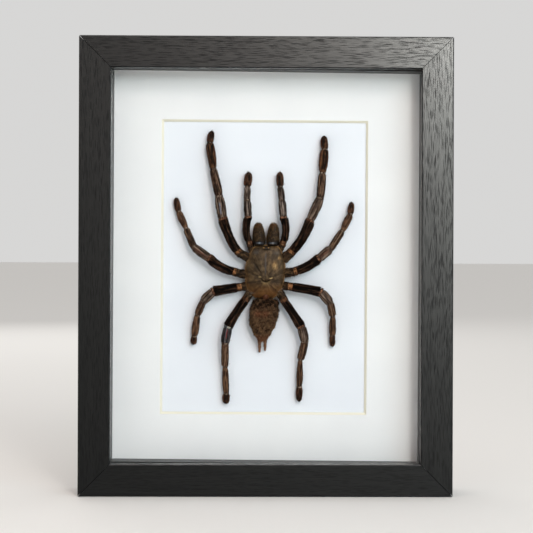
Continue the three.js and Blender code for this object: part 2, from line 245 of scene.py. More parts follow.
def new_group(name: str, takes: dict[str, float | None], gives: Iterable[str]) -> tuple[Wiring, Any, Any]:
    """Starts a shader node group whose results are values.

    Args:
        name: The group's name.
        takes: The inputs: a number for a value, None for a vector.
        gives: The names of the results.

    Returns:
        The group's wiring, its inputs as sockets, and the node that takes its results.
    """
    tree = bpy.data.node_groups.new(name, "ShaderNodeTree")
    for socket_name, default in takes.items():
        kind = "NodeSocketVector" if default is None else "NodeSocketFloat"
        socket = tree.interface.new_socket(socket_name, in_out="INPUT", socket_type=kind)
        if default is not None:
            socket.default_value = default
    for socket_name in gives:
        tree.interface.new_socket(socket_name, in_out="OUTPUT", socket_type="NodeSocketFloat")
    wiring = Wiring(tree)
    return wiring, wiring.node("NodeGroupInput").outputs, wiring.node("NodeGroupOutput").inputs


@cache
def striae() -> bpy.types.NodeTree:
    """The fine lines, clouds and grit of dried cuticle, drawn out along Z of the place that goes in.

    Returns:
        The group, which takes its place in millimetres.
    """
    wiring, given, results = new_group(
        "Striae", {"Place": None, "Across": 1.6, "Stretch": 9.0}, ("Lines", "Clouds", "Grit")
    )
    along = wiring.maths("DIVIDE", given["Across"], given["Stretch"])
    drawn = wiring.scaled(given["Place"], wiring.joined(given["Across"], given["Across"], along))
    wiring.feed(results["Lines"], wiring.span(wiring.noise(drawn, 1.0, 4.0), 0.34, 0.68))
    wiring.feed(results["Clouds"], wiring.span(wiring.noise(given["Place"], 0.42, 3.0), 0.32, 0.7))
    wiring.feed(results["Grit"], wiring.noise(given["Place"], 4.6, 3.0))
    return wiring.tree


@cache
def wood_grain() -> bpy.types.NodeTree:
    """Short pores, long lines and fine tooth that run along X of the place that goes in, in metres.

    Returns:
        The group.
    """
    wiring, given, results = new_group("Wood grain", {"Place": None}, ("Pores", "Lines", "Tooth"))
    slits = wiring.cells(wiring.scaled(given["Place"], PORE_STRETCH))
    tooth = wiring.noise(wiring.scaled(given["Place"], TOOTH_STRETCH), 1.0, 1.0)
    lines = wiring.noise(wiring.scaled(given["Place"], LINE_STRETCH), 1.0, 3.0)
    broken = wiring.plus(slits, wiring.times(lines, 0.25))
    wiring.feed(results["Pores"], wiring.span(broken, 0.58, 0.44))
    wiring.feed(results["Lines"], wiring.span(lines, *NOISE_SPAN))
    wiring.feed(results["Tooth"], wiring.span(tooth, *NOISE_SPAN))
    return wiring.tree


@cache
def fibre() -> bpy.types.NodeTree:
    """The tooth and the slow clouding of paper, board and strip; Size is how fine it is, per metre.

    Returns:
        The group.
    """
    wiring, given, results = new_group("Fibre", {"Place": None, "Size": 900.0}, ("Tooth", "Clouds"))
    fine = wiring.scaled(given["Place"], wiring.joined(given["Size"], given["Size"], given["Size"]))
    wiring.feed(results["Tooth"], wiring.noise(fine, 1.0, 4.0))
    wiring.feed(results["Clouds"], wiring.noise(given["Place"], 28.0, 2.0))
    return wiring.tree


class Surface(Wiring):
    """The wiring of a new material, which ends in its main shader."""

    def __init__(self, name: str) -> None:
        """Starts the material.

        Args:
            name: The material's name.
        """
        self.material = bpy.data.materials.new(name)
        self.material.use_nodes = True
        super().__init__(self.material.node_tree)
        self.shader = self.tree.nodes["Principled BSDF"]

    def dressed(self, inputs: dict[str, Any]) -> Material:
        """Feeds the main shader.

        Args:
            inputs: A value or a socket for each of its inputs, by name.

        Returns:
            The material.
        """
        for name, value in inputs.items():
            self.feed(self.shader.inputs[name], value)
        return self.material


# ---------------------------------------------------------------- finishes


@dataclass(frozen=True)
class Finish:
    """What every finish shares: the name of its material."""

    name: str

    def make(self) -> Material:
        """Builds the material."""
        raise NotImplementedError


@cache
def material_of(finish: Finish) -> Material:
    """The one material of a finish."""
    return finish.make()


class Run(Enum):
    """Which way the grain of a rail runs."""

    LEVEL = "level"
    UPRIGHT = "upright"


@dataclass(frozen=True)
class BlackWood(Finish):
    """Satin black, open-pored moulding, whose lacquer is thin over its tooth and broken by its pores."""

    run: Run
    deep: Colour = shade(7, 7, 7)
    dark: Colour = shade(13, 14, 14)
    pale: Colour = shade(21, 22, 21)
    gloss: float = 0.3
    lacquer_bending: float = 1.8
    lacquer_roughness: float = 0.27
    thinnest_lacquer: float = 0.68
    pore_break: float = 0.75
    ridges: float = 0.12
    relief: float = 0.03
    relief_strength: float = 0.8

    def make(self) -> Material:
        """Builds the material, with the grain along the rail.

        Returns:
            The material.
        """
        surface = Surface(self.name)
        place = surface.place()
        if self.run is Run.UPRIGHT:
            across, depth, height = surface.parts(place)
            place = surface.joined(height, across, depth)
        grain = surface.shared(wood_grain(), Place=place)
        body = surface.mix(grain["Lines"], self.dark, self.pale)
        uneven = surface.plus(grain["Tooth"], grain["Lines"])
        lacquer = surface.span(uneven, 0.0, 2.0, self.thinnest_lacquer, 1.0)
        open_pore = surface.times(grain["Pores"], self.pore_break, lacquer)
        relief = surface.maths("SUBTRACT", surface.times(grain["Lines"], self.ridges), grain["Pores"])
        return surface.dressed({
            "Base Color": surface.mix(grain["Pores"], body, self.deep),
            "Specular IOR Level": self.gloss,
            "Coat IOR": self.lacquer_bending,
            "Coat Roughness": self.lacquer_roughness,
            "Coat Weight": surface.maths("SUBTRACT", lacquer, open_pore),
            "Roughness": surface.span(grain["Pores"], 0.0, 1.0, 0.45, 0.7),
            "Normal": surface.bump(relief, self.relief, self.relief_strength),
        })


@dataclass(frozen=True)
class ClearGlass(Finish):
    """A clean, flat pane that lets lamplight through."""

    tint: Colour = (0.985, 1.0, 0.992, 1.0)
    bending: float = 1.5

    def make(self) -> Material:
        """Builds the material, with a clear way for rays from lamps.

        Returns:
            The material.
        """
        surface = Surface(self.name)
        ray = surface.node("ShaderNodeLightPath").outputs
        through = surface.maths("MAXIMUM", ray["Is Shadow Ray"], ray["Is Diffuse Ray"])
        clear = surface.node("ShaderNodeBsdfTransparent").outputs[0]
        mixed = surface.first_of("ShaderNodeMixShader", {0: through, 1: surface.shader.outputs[0], 2: clear})
        out = next(node for node in surface.tree.nodes if node.type == "OUTPUT_MATERIAL")
        surface.feed(out.inputs["Surface"], mixed)
        return surface.dressed({
            "Base Color": self.tint, "Roughness": 0.0, "IOR": self.bending, "Transmission Weight": 1.0,
        })


@dataclass(frozen=True)
class Board(Finish):
    """Paper-faced board, strip or hardboard: one colour on its faces and another where it is cut."""

    face: Colour
    shadow: Colour
    core: Colour
    size: float = 1500.0
    roughness: float = 0.85
    sheen: float = 0.08
    tooth: float = 0.03

    def make(self) -> Material:
        """Builds the material.

        Returns:
            The material.
        """
        surface = Surface(self.name)
        weave = surface.shared(fibre(), Place=surface.place(), Size=self.size)
        tone = surface.span(surface.plus(weave["Tooth"], weave["Clouds"]), 0.7, 1.3)
        facing = surface.parts(surface.node("ShaderNodeNewGeometry").outputs["True Normal"])[1]
        cut = surface.span(surface.maths("ABSOLUTE", facing), 0.95, 0.85)
        smoothest = self.roughness - self.sheen
        return surface.dressed({
            "Base Color": surface.mix(cut, surface.mix(tone, self.shadow, self.face), self.core),
            "Roughness": surface.span(weave["Tooth"], *NOISE_SPAN, smoothest, self.roughness),
            "Normal": surface.bump(weave["Tooth"], self.tooth),
        })


@dataclass(frozen=True)
class ZincedSteel(Finish):
    """Thin plated sheet, a little dull and scuffed."""

    bright: Colour = shade(196, 198, 200)
    dull: Colour = shade(168, 171, 174)
    scuff_size: float = 2600.0
    spangle_size: float = 700.0
    relief: float = 0.02

    def make(self) -> Material:
        """Builds the material.

        Returns:
            The material.
        """
        surface = Surface(self.name)
        place = surface.place()
        weave = surface.shared(fibre(), Place=place, Size=self.scuff_size)
        spangle = surface.cells(place, self.spangle_size)
        tone = surface.span(surface.plus(spangle, weave["Clouds"]), 0.5, 1.4)
        return surface.dressed({
            "Base Color": surface.mix(tone, self.bright, self.dull),
            "Roughness": surface.span(weave["Tooth"], *NOISE_SPAN, 0.28, 0.46),
            "Normal": surface.bump(weave["Tooth"], self.relief),
            "Metallic": 1.0,
        })


@dataclass(frozen=True)
class Skin(Finish):
    """What the dried skins share: three tones along fine lines, a roughness, a relief and a gloss.

    Across and stretch are how many lines lie in a millimetre, and how drawn out they are along the grain
    that the mesh carries.
    """

    across: float = 1.2
    stretch: float = 9.0
    roughness: float = 0.42
    relief: float = 0.2
    gloss: float = 0.04
    smoother: float = 0.1
    rougher: float = 0.14
    grit: float = 0.35

    def lines_on(self, surface: Surface) -> Any:
        """The lines, clouds and grit of the skin."""
        grain = surface.attribute("grain")
        return surface.shared(striae(), Place=grain, Across=self.across, Stretch=self.stretch)

    def dressed_skin(self, surface: Surface, skin: Any, colour: Any) -> Material:
        """Finishes the material of a skin.

        Args:
            surface: Its wiring.
            skin: Its lines, clouds and grit.
            colour: Its colour.

        Returns:
            The material.
        """
        smoothest, roughest = self.roughness - self.smoother, self.roughness + self.rougher
        height = surface.plus(skin["Lines"], surface.times(skin["Grit"], self.grit))
        return surface.dressed({
            "Base Color": colour,
            "Specular IOR Level": self.gloss,
            "Roughness": surface.span(skin["Grit"], *NOISE_SPAN, smoothest, roughest),
            "Normal": surface.bump(height, self.relief),
        })


@dataclass(frozen=True, kw_only=True)
class Cuticle(Skin):
    """Dried skin of a limb: fine lines along it, darker at its ends, with painted shade along its grooves.
    Its sides are painted shade at the limb's edges where darker, and the skin's own edge colour where
    lighter and redder; its crest along the top is a painted highlight where pale, over the bald stripes of
    patella and tibia, and the skin's own streak where dark or red.

    It reads three vectors on the mesh: grain, the place in the straight limb in millimetres, span, which
    runs from -1 to 1 across and up, and from 0 to 1 along, and ends, the millimetres to both ends.
    """

    dark: Colour
    middle: Colour
    pale: Colour
    sides: Colour
    crest: Colour
    sides_share: float = 0.5
    crest_share: float = 0.5
    crest_place: float = 0.0
    crest_width: float = 0.3
    crest_span: tuple[float, float] = (0.0, 1.0)
    crest_fade: float = 0.15
    # painted shade along the grooves of the upper flutes: how strong, and how far out it lies
    grooves: float = 0.5
    groove_place: float = 0.38
    clouding: float = 0.25
    base_patch: float = 0.0
    dark_ends: float = 0.7

    def make(self) -> Material:
        """Builds the material.

        Returns:
            The material.
        """
        surface = Surface(self.name)
        skin = self.lines_on(surface)
        across, up, along = surface.parts(surface.attribute("span"))
        near, far, _ = surface.parts(surface.attribute("ends"))
        aside = surface.maths("ABSOLUTE", across)
        lines = surface.times(skin["Lines"], 1.0 - self.clouding)
        tone = surface.plus(lines, surface.times(skin["Clouds"], self.clouding))
        # towards both sides: where the side colour is darker, painted shade at the limb's edges; where
        # lighter and redder, the skin's own edge colour
        edge = surface.span(aside, 0.45, 0.9, 0.0, self.sides_share)
        edge = surface.times(edge, surface.span(skin["Clouds"], 0.0, 0.7, 0.45, 1.0))
        # painted shade along the grooves of the upper flutes
        groove = surface.span(surface.off(aside, self.groove_place), 0.2, 0.04, 0.0, self.grooves)
        groove = surface.times(groove, surface.span(skin["Clouds"], 0.2, 0.6))
        patch = surface.span(surface.plus(aside, surface.times(near, 0.2)), 0.8, 0.3)
        patch = surface.times(surface.span(near, 2.8, 0.8, 0.0, self.base_patch), patch)
        closing = surface.maths("MAXIMUM", surface.span(near, 0.75, 0.2), surface.span(far, 0.6, 0.15))
        return self.dressed_skin(surface, skin, surface.layered(
            surface.ramp(tone, (0.15, self.dark), (0.5, self.middle), (0.88, self.pale)),
            (edge, self.sides),
            (groove, self.dark),
            (self.crest_mask(surface, skin, across, up, along), self.crest),
            (patch, self.pale),
            (surface.times(closing, self.dark_ends), self.dark),
        ))

    def crest_mask(self, surface: Surface, skin: Any, across: Any, up: Any, along: Any) -> Socket:
        """Where the streak along the top shows: a painted highlight where it is pale, over the bald stripes
        of patella and tibia, and the skin's own streak where it is dark or red.

        Args:
            surface: The material's wiring.
            skin: The lines and clouds of the cuticle.
            across: -1 to 1 across the limb.
            up: -1 to 1 up the limb.
            along: 0 to 1 along the limb.

        Returns:
            The share of the crest's colour.
        """
        start, end = self.crest_span
        off = surface.off(across, self.crest_place)
        streak = surface.span(off, self.crest_width, self.crest_width * 0.25, 0.0, self.crest_share)
        begun = surface.span(along, start, start + self.crest_fade)
        within = surface.times(begun, surface.span(along, end, end - self.crest_fade))
        broken = surface.times(surface.span(up, 0.1, 0.5), surface.span(skin["Lines"], 0.1, 0.8, 0.3, 1.0))
        return surface.times(streak, within, broken)


@dataclass(frozen=True, kw_only=True)
class Shell(Skin):
    """Skin of a body lobe, with the colour marks that the mesh carries: stains, and on the carapace and jaws
    painted shade and a painted highlight as well.

    Its marks are warm, dark and pale, and a vector of its own holds a painted blue-grey highlight. Grain is
    the place that its fine lines run along.
    """

    low: Colour
    middle: Colour
    high: Colour
    warm: Colour
    dark: Colour
    pale: Colour
    # painted highlight: the blue-grey of the carapace's middle line and front patches, and of the jaws'
    # glints
    cool: Colour = shade(74, 76, 80)
    lines: float = 0.5
    blotches: float = 480.0
    stretch: float = 7.0
    roughness: float = 0.46
    relief: float = 0.14
    gloss: float = 0.1
    rougher: float = 0.16
    grit: float = 0.5

    def make(self) -> Material:
        """Builds the material.

        Returns:
            The material.
        """
        surface = Surface(self.name)
        skin = self.lines_on(surface)
        blotch = surface.noise(surface.place(), self.blotches, 5.0)
        spots = surface.times(surface.span(blotch, *NOISE_SPAN), 1.0 - self.lines)
        tone = surface.plus(surface.times(skin["Lines"], self.lines), spots)
        warm, dark, pale = surface.parts(surface.attribute("marks"))
        return self.dressed_skin(surface, skin, surface.layered(
            surface.ramp(tone, (0.1, self.low), (0.5, self.middle), (0.92, self.high)),
            (surface.times(warm, surface.span(blotch, 0.25, 0.6, 0.55, 1.0)), self.warm),
            # dark marks: stains, black tufts and dark joints, and on the carapace and jaws painted shade as
            # well
            (dark, self.dark),
            # a painted blue-grey highlight, laid over the dark marks
            (surface.parts(surface.attribute("cool"))[0], self.cool),
            (pale, self.pale),
        ))


@dataclass(frozen=True)
class Hair(Finish):
    """Fine stiff hairs of mixed tones."""

    dark: Colour
    pale: Colour
    roughness: float = 0.6
    pale_roughness: float = 0.7
    gloss: float = 0.02
    tuft_size: float = 620.0

    def make(self) -> Material:
        """Builds the material.

        Returns:
            The material.
        """
        surface = Surface(self.name)
        single = surface.span(surface.noise(surface.attribute("grain"), 2.3, 2.0), 0.34, 0.7)
        tuft = surface.span(surface.noise(surface.place(), self.tuft_size, 3.0), 0.38, 0.64)
        tone = surface.times(surface.plus(single, tuft), 0.5)
        return surface.dressed({
            "Base Color": surface.mix(tone, self.dark, self.pale),
            "Specular IOR Level": self.gloss,
            "Roughness": surface.span(tone, 0.0, 1.0, self.roughness, self.pale_roughness),
        })


@dataclass(frozen=True)
class Bead(Finish):
    """Glossy eye or dried drop, clouded inside."""

    deep: Colour
    light: Colour
    roughness: float = 0.16
    rougher: float = 0.12
    gloss: float = 0.5
    cloud_size: float = 1400.0
    relief: float = 0.05

    def make(self) -> Material:
        """Builds the material.

        Returns:
            The material.
        """
        surface = Surface(self.name)
        cloud = surface.noise(surface.place(), self.cloud_size, 2.0)
        roughest = self.roughness + self.rougher
        return surface.dressed({
            "Base Color": surface.mix(cloud, self.deep, self.light),
            "Specular IOR Level": self.gloss,
            "Roughness": surface.span(cloud, *NOISE_SPAN, self.roughness, roughest),
            "Normal": surface.bump(cloud, self.relief),
        })


# In the skins below, pale crests are painted highlights along the top of a part, and dark and red crests the
# skin's own streaks; darker sides are painted shade at the edges.
FEMUR_SKIN = Cuticle(
    "Femur cuticle", dark=shade(6, 4, 3), middle=shade(12, 8, 6), pale=shade(80, 56, 42),
    sides=shade(40, 24, 16), crest=shade(6, 4, 3), sides_share=0.45, crest_share=0.75, crest_place=0.3,
    across=1.15, stretch=16.0, relief=0.3, gloss=0.02,
)
PATELLA_SKIN = Cuticle(
    "Patella cuticle", dark=shade(18, 12, 9), middle=shade(80, 62, 50), pale=shade(150, 128, 112),
    sides=shade(22, 14, 10), crest=shade(112, 98, 90), sides_share=0.85, crest_share=0.5, crest_place=0.1,
    across=1.1, stretch=10.0, gloss=0.07,
)
# painted highlight: the blue-grey streak along the top of this patella, over its bald stripe
PATELLA_HIGHLIGHT_SKIN = replace(
    PATELLA_SKIN, name="Blue-grey patella cuticle", crest=shade(124, 127, 140), crest_share=0.9,
    crest_width=0.24, crest_place=0.12, crest_span=(0.1, 0.8),
)
ROSY_PATELLA_SKIN = replace(
    PATELLA_SKIN, name="Rosy patella cuticle", crest=shade(112, 64, 52), crest_share=0.5, crest_width=0.4,
)
RED_PATELLA_SKIN = replace(
    PATELLA_SKIN, name="Red-streaked patella cuticle", dark=shade(20, 20, 24), middle=shade(56, 50, 50),
    pale=shade(104, 100, 104), sides=shade(28, 26, 28), crest=shade(140, 40, 36), crest_share=0.95,
    crest_width=0.12, crest_place=0.0, crest_span=(0.0, 0.75),
)
TIBIA_SKIN = Cuticle(
    "Tibia cuticle", dark=shade(15, 9, 6), middle=shade(58, 39, 28), pale=shade(146, 116, 94),
    sides=shade(26, 15, 9), crest=shade(96, 75, 60), sides_share=0.8, crest_share=0.4,
    crest_place=-0.15, across=1.15, stretch=11.0,
)
REAR_TIBIA_SKIN = replace(
    TIBIA_SKIN, name="Rear tibia cuticle", dark=shade(32, 21, 15), middle=shade(82, 59, 45),
    pale=shade(134, 104, 84), sides=shade(62, 42, 31), sides_share=0.55, grooves=0.25,
)
METATARSUS_SKIN = Cuticle(
    "Metatarsus cuticle", dark=shade(10, 6, 4), middle=shade(35, 21, 13), pale=shade(108, 75, 52),
    sides=shade(92, 52, 29), crest=shade(15, 10, 8), sides_share=0.7, crest_share=0.9,
    crest_place=-0.05, crest_span=(0.15, 0.85), base_patch=0.8, grooves=0.3, across=1.0, stretch=9.0,
)
PLAIN_METATARSUS_SKIN = replace(
    METATARSUS_SKIN, name="Plain metatarsus cuticle", dark=shade(28, 18, 13), middle=shade(82, 58, 43),
    pale=shade(126, 93, 71), sides=shade(66, 44, 32), sides_share=0.5, crest_share=0.2, grooves=0.15,
)
TARSUS_SKIN = Cuticle(
    "Tarsus cuticle", dark=shade(12, 8, 6), middle=shade(50, 33, 24), pale=shade(108, 74, 54),
    sides=shade(92, 52, 33), crest=shade(16, 10, 8), sides_share=0.5, crest_share=0.45,
    across=1.3, stretch=4.0, roughness=0.55,
)
COXA_SKIN = Cuticle(
    "Coxa cuticle", dark=shade(14, 9, 6), middle=shade(52, 38, 26), pale=shade(100, 78, 54),
    sides=shade(18, 11, 8), crest=shade(76, 58, 38), sides_share=0.8, crest_share=0.4,
    across=1.1, stretch=4.0, roughness=0.5,
)
HIP_SKIN = replace(
    COXA_SKIN, name="Hip cuticle", dark=shade(34, 20, 13), middle=shade(88, 58, 39),
    pale=shade(150, 108, 80), sides=shade(44, 26, 17), crest=shade(118, 82, 58),
)
MEMBRANE = Cuticle(
    "Hip membrane", dark=shade(24, 14, 9), middle=shade(92, 57, 35), pale=shade(190, 138, 96),
    sides=shade(20, 11, 7), crest=shade(186, 128, 84), sides_share=0.95, crest_share=0.75,
    crest_width=0.4, crest_place=0.12, grooves=0.3, clouding=0.35, across=1.9, stretch=1.0, roughness=0.5,
)
KNEE_MEMBRANE = Cuticle(
    "Knee membrane", dark=shade(40, 24, 17), middle=shade(98, 64, 48), pale=shade(168, 124, 98),
    sides=shade(44, 26, 18), crest=shade(140, 98, 74), sides_share=0.7, crest_share=0.4,
    crest_width=0.6, grooves=0.0, across=1.4, stretch=1.4, roughness=0.5,
)
GREY_KNEE_MEMBRANE = replace(
    KNEE_MEMBRANE, name="Grey knee membrane", dark=shade(24, 26, 30), middle=shade(74, 80, 90),
    pale=shade(206, 196, 172), sides=shade(40, 42, 48), crest=shade(96, 104, 116),
)
DULL_MEMBRANE = Cuticle(
    "Dull membrane", dark=shade(24, 15, 11), middle=shade(66, 48, 38), pale=shade(166, 146, 128),
    sides=shade(24, 15, 11), crest=shade(140, 120, 104), sides_share=0.7, crest_share=0.6,
    grooves=0.2, across=1.2, stretch=1.4, roughness=0.5,
)
PALP_PATELLA_SKIN = replace(
    PATELLA_SKIN, name="Palp patella cuticle", middle=shade(74, 62, 55), pale=shade(152, 136, 126),
    crest=shade(140, 124, 114),
)
PALP_TIBIA_SKIN = replace(
    TIBIA_SKIN, name="Palp tibia cuticle", middle=shade(90, 76, 67), pale=shade(156, 140, 130),
    sides=shade(44, 34, 28), crest=shade(128, 112, 102),
)
FEMUR_HAIR = Hair("Femur hair", dark=shade(6, 4, 3), pale=shade(32, 21, 15))
LIMB_HAIR = Hair("Limb hair", dark=shade(23, 15, 11), pale=shade(94, 71, 56))
CARAPACE = Shell(
    "Carapace", low=shade(44, 34, 22), middle=shade(68, 53, 36), high=shade(98, 78, 53),
    warm=shade(114, 70, 29), dark=shade(9, 7, 5), pale=shade(224, 190, 130),
    lines=0.4, across=0.8, stretch=9.0, roughness=0.42, gloss=0.12,
)
# Its pale and blue-grey colours are painted highlights: the glints on the glossy band at the jaw's root.
CHELICERA = Shell(
    "Chelicera", low=shade(16, 11, 7), middle=shade(36, 25, 16), high=shade(74, 55, 35),
    warm=shade(84, 50, 24), dark=shade(9, 7, 6), pale=shade(196, 208, 220), cool=shade(76, 84, 96),
    lines=0.35, across=1.0, stretch=5.0, roughness=0.42, gloss=0.1,
)
ABDOMEN = Shell(
    "Abdomen skin", low=shade(18, 12, 8), middle=shade(68, 50, 35), high=shade(110, 84, 61),
    warm=shade(104, 58, 38), dark=shade(6, 4, 3), pale=shade(130, 106, 86),
    lines=0.2, across=1.4, stretch=2.0, roughness=0.7, relief=0.4, gloss=0.02,
)
SPINNERET = Shell(
    "Spinneret", low=shade(44, 29, 21), middle=shade(86, 60, 46), high=shade(146, 110, 86),
    warm=shade(112, 70, 50), dark=shade(30, 18, 12), pale=shade(180, 140, 110),
    across=1.4, stretch=3.0, roughness=0.55,
)
CARAPACE_HAIR = Hair("Carapace hair", dark=shade(50, 38, 22), pale=shade(122, 95, 58))
FRINGE_HAIR = Hair("Fringe hair", dark=shade(88, 60, 36), pale=shade(172, 134, 92))
BROWN_FUR = Hair("Brown fur", dark=shade(38, 27, 18), pale=shade(156, 122, 92))
BLACK_FUR = Hair("Black fur", dark=shade(5, 4, 3), pale=shade(24, 16, 11))
RED_FUR = Hair("Reddish fur", dark=shade(92, 54, 38), pale=shade(164, 108, 78))
TAIL_FUR = Hair("Tail fur", dark=shade(70, 46, 34), pale=shade(140, 100, 76))
PALE_BRISTLE = Hair("Pale bristle", dark=shade(120, 104, 88), pale=shade(190, 178, 164))
DARK_EYE = Bead("Dark eye", deep=shade(8, 6, 5), light=shade(44, 32, 22))
TAN_EYE = Bead("Tan eye", deep=shade(120, 84, 48), light=shade(214, 168, 110))
PEDICEL = Bead("Pedicel", deep=shade(44, 24, 15), light=shade(92, 54, 34), roughness=0.4, gloss=0.1)
GLUE = Bead("Dried glue", deep=shade(196, 178, 140), light=shade(228, 216, 190), roughness=0.3)


# ---------------------------------------------------------------- modelling by hand

END_MARGIN = 1e-3  # how near an end a corner still belongs to it
GROOVE_REACH = 0.15  # half the width of a groove, in radians
SHORTEST = 1e-9  # keeps the length of a vector off zero
HAIR_CORNERS = 4  # three round the root, and the tip


def deselect_all() -> None:
    """Leaves nothing selected, in object mode."""
    bpy.ops.object.select_all(action="DESELECT")


def take(obj: Body) -> None:
    """Makes an object the only selected one, and the active one.

    Args:
        obj: The object.
    """
    deselect_all()
    obj.select_set(True)
    bpy.context.view_layer.objects.active = obj


def select_points(obj: Body, chosen: Callable[[Vector], bool]) -> None:
    """Selects the corners of a mesh that a test picks.

    Args:
        obj: The object, in edit mode.
        chosen: The test of a corner's place.
    """
    bpy.ops.mesh.select_mode(type="VERT")
    bpy.ops.mesh.select_all(action="DESELECT")
    bpy.ops.object.mode_set(mode="OBJECT")
    for vertex in obj.data.vertices:
        vertex.select = chosen(vertex.co)
    bpy.ops.object.mode_set(mode="EDIT")


def store(mesh: Mesh, name: str, values: np.ndarray) -> None:
    """Keeps a vector for each corner of a mesh."""
    layer = mesh.attributes.get(name) or mesh.attributes.new(name, "FLOAT_VECTOR", "POINT")
    layer.data.foreach_set("vector", np.ascontiguousarray(values, np.float32).ravel())


def places(mesh: Mesh) -> np.ndarray:
    """The corners of a mesh.

    Args:
        mesh: The mesh.

    Returns:
        Their places, one row each.
    """
    found = np.empty(len(mesh.vertices) * 3, np.float32)
    mesh.vertices.foreach_get("co", found)
    return found.reshape(-1, 3).astype(float)


def reshape(mesh: Mesh, points: np.ndarray) -> None:
    """Moves the corners of a mesh."""
    mesh.vertices.foreach_set("co", np.ascontiguousarray(points, np.float32).ravel())
    mesh.update()


def smoothstep(values: np.ndarray, low: float, high: float) -> np.ndarray:
    """Runs from 0 at low to 1 at high, with soft ends."""
    share = np.clip((values - low) / (high - low), 0.0, 1.0)
    return share * share * (3.0 - 2.0 * share)


def between(values: np.ndarray, start: float, full: float, fading: float, end: float) -> np.ndarray:
    """Rises from 0 at start to 1 at full, and falls from fading to 0 at end."""
    return smoothstep(values, start, full) * smoothstep(values, end, fading)


def bell(values: np.ndarray, middle: float, width: float) -> np.ndarray:
    """A soft hill that is 1 in its middle."""
    return np.exp(-(((values - middle) / width) ** 2))


def spot(
    across: np.ndarray, ahead: np.ndarray, place: tuple[float, float], size: tuple[float, float]
) -> np.ndarray:
    """A soft-edged round spot that is 1 in its middle."""
    return np.exp(-(((across - place[0]) / size[0]) ** 2 + ((ahead - place[1]) / size[1]) ** 2))


@dataclass(frozen=True)
class Ring:
    """One cross-section of a drawn-out body: its place along Z, its size and the shift of its middle."""

    at: float
    width: float
    depth: float
    shift: tuple[float, float] = (0.0, 0.0)

    def centre(self) -> Vector:
        """The middle of the ring."""
        return Vector((*self.shift, self.at))


def draw_out(name: str, rings: list[Ring], sides: int, finish: Finish) -> Body:
    """Draws a closed body out of a disc, ring by ring, along Z.

    Args:
        name: The object's name.
        rings: The cross-sections, in order.
        sides: How many corners each ring has.
        finish: What the body is finished in.

    Returns:
        The body, at the origin.
    """
    deselect_all()
    start = rings[0]
    bpy.ops.mesh.primitive_circle_add(
        vertices=sides, radius=0.5, fill_type="NGON", location=start.centre()
    )
    obj = bpy.context.active_object
    obj.name = name
    bpy.ops.object.mode_set(mode="EDIT")
    bpy.ops.transform.resize(value=(start.width, start.depth, 1.0), center_override=start.centre())
    for before, ring in pairwise(rings):
        step = ring.centre() - before.centre()
        bpy.ops.mesh.extrude_region_move(TRANSFORM_OT_translate={"value": step})
        growth = (ring.width / before.width, ring.depth / before.depth, 1.0)
        bpy.ops.transform.resize(value=growth, center_override=ring.centre())
    bpy.ops.mesh.select_all(action="SELECT")
    bpy.ops.mesh.normals_make_consistent(inside=False)
    bpy.ops.object.mode_set(mode="OBJECT")
    bpy.ops.object.transform_apply(location=True, rotation=True, scale=True)
    obj.data.materials.append(material_of(finish))
    return obj


def flute(obj: Body, rings: list[Ring], angles: Iterable[float], depth: float) -> None:
    """Sinks lengthwise grooves in a drawn-out body, and leaves its two ends as they are.

    Args:
        obj: The body.
        rings: The rings that it was drawn with.
        angles: Where the grooves lie round it, in degrees from +X.
        depth: How deep they go.
    """
    first, last = rings[0], rings[-1]
    wanted = [math.radians(angle) for angle in angles]
    stations = np.array([ring.at for ring in rings])
    middles = np.array([ring.shift for ring in rings])

    def chosen(point: Vector) -> bool:
        """Tells whether a corner is in a groove, away from both ends.

        Args:
            point: The corner's place.

        Returns:
            True if it is.
        """
        if not first.at + END_MARGIN < point.z < last.at - END_MARGIN:
            return False
        middle_x = np.interp(point.z, stations, middles[:, 0])
        middle_y = np.interp(point.z, stations, middles[:, 1])
        angle = math.atan2(point.y - middle_y, point.x - middle_x)
        return any(abs(math.remainder(angle - want, math.tau)) < GROOVE_REACH for want in wanted)

    take(obj)
    bpy.ops.object.mode_set(mode="EDIT")
    select_points(obj, chosen)
    bpy.ops.transform.shrink_fatten(value=-depth)
    bpy.ops.object.mode_set(mode="OBJECT")


def refine(obj: Body, levels: int, lumps: float = 0.0, lump_size: float = 2.0) -> None:
    """Rounds a body with applied subdivision, and makes its surface a little uneven.

    Args:
        obj: The body.
        levels: How often it is subdivided.
        lumps: How far the uneven surface moves, in all.
        lump_size: How far apart the lumps are.
    """
    take(obj)
    if levels:
        smooth = obj.modifiers.new("Rounding", "SUBSURF")
        smooth.levels = levels
        smooth.render_levels = levels
        bpy.ops.object.modifier_apply(modifier=smooth.name)
    if lumps:
        clouds = bpy.data.textures.new(f"{obj.name} lumps", "CLOUDS")
        clouds.noise_scale = lump_size
        clouds.noise_depth = 2
        uneven = obj.modifiers.new("Uneven", "DISPLACE")
        uneven.texture = clouds
        uneven.strength = lumps
        uneven.texture_coords = "LOCAL"
        bpy.ops.object.modifier_apply(modifier=uneven.name)
    bpy.ops.object.shade_smooth()


def lay(obj: Body, start: Vector, end: Vector) -> None:
    """Turns a body that was drawn along Z so that it runs from start towards end, its +Y side up.

    Args:
        obj: The body.
        start: Where its Z = 0 goes.
        end: What it points at.
    """
    along = (end - start).normalized()
    side = Vector((0.0, 0.0, 1.0)).cross(along).normalized()
    turn = Matrix((side, along.cross(side), along)).transposed().to_4x4()
    obj.data.transform(Matrix.Translation(start) @ turn)
    store(obj.data, "flow", np.tile(np.array(along), (len(obj.data.vertices), 1)))


def join(name: str, bodies: list[Body]) -> Body:
    """Joins bodies in one piece.

    Args:
        name: The piece's name.
        bodies: What it is joined from; the first one stays.

    Returns:
        The joined piece.
    """
    take(bodies[0])
    for body in bodies:
        body.select_set(True)
    bpy.ops.object.join()
    bodies[0].name = name
    bodies[0].data.name = name
    return bodies[0]


def unit(vectors: np.ndarray) -> np.ndarray:
    """Gives rows of vectors a length of one."""
    return vectors / np.maximum(np.linalg.norm(vectors, axis=1, keepdims=True), SHORTEST)


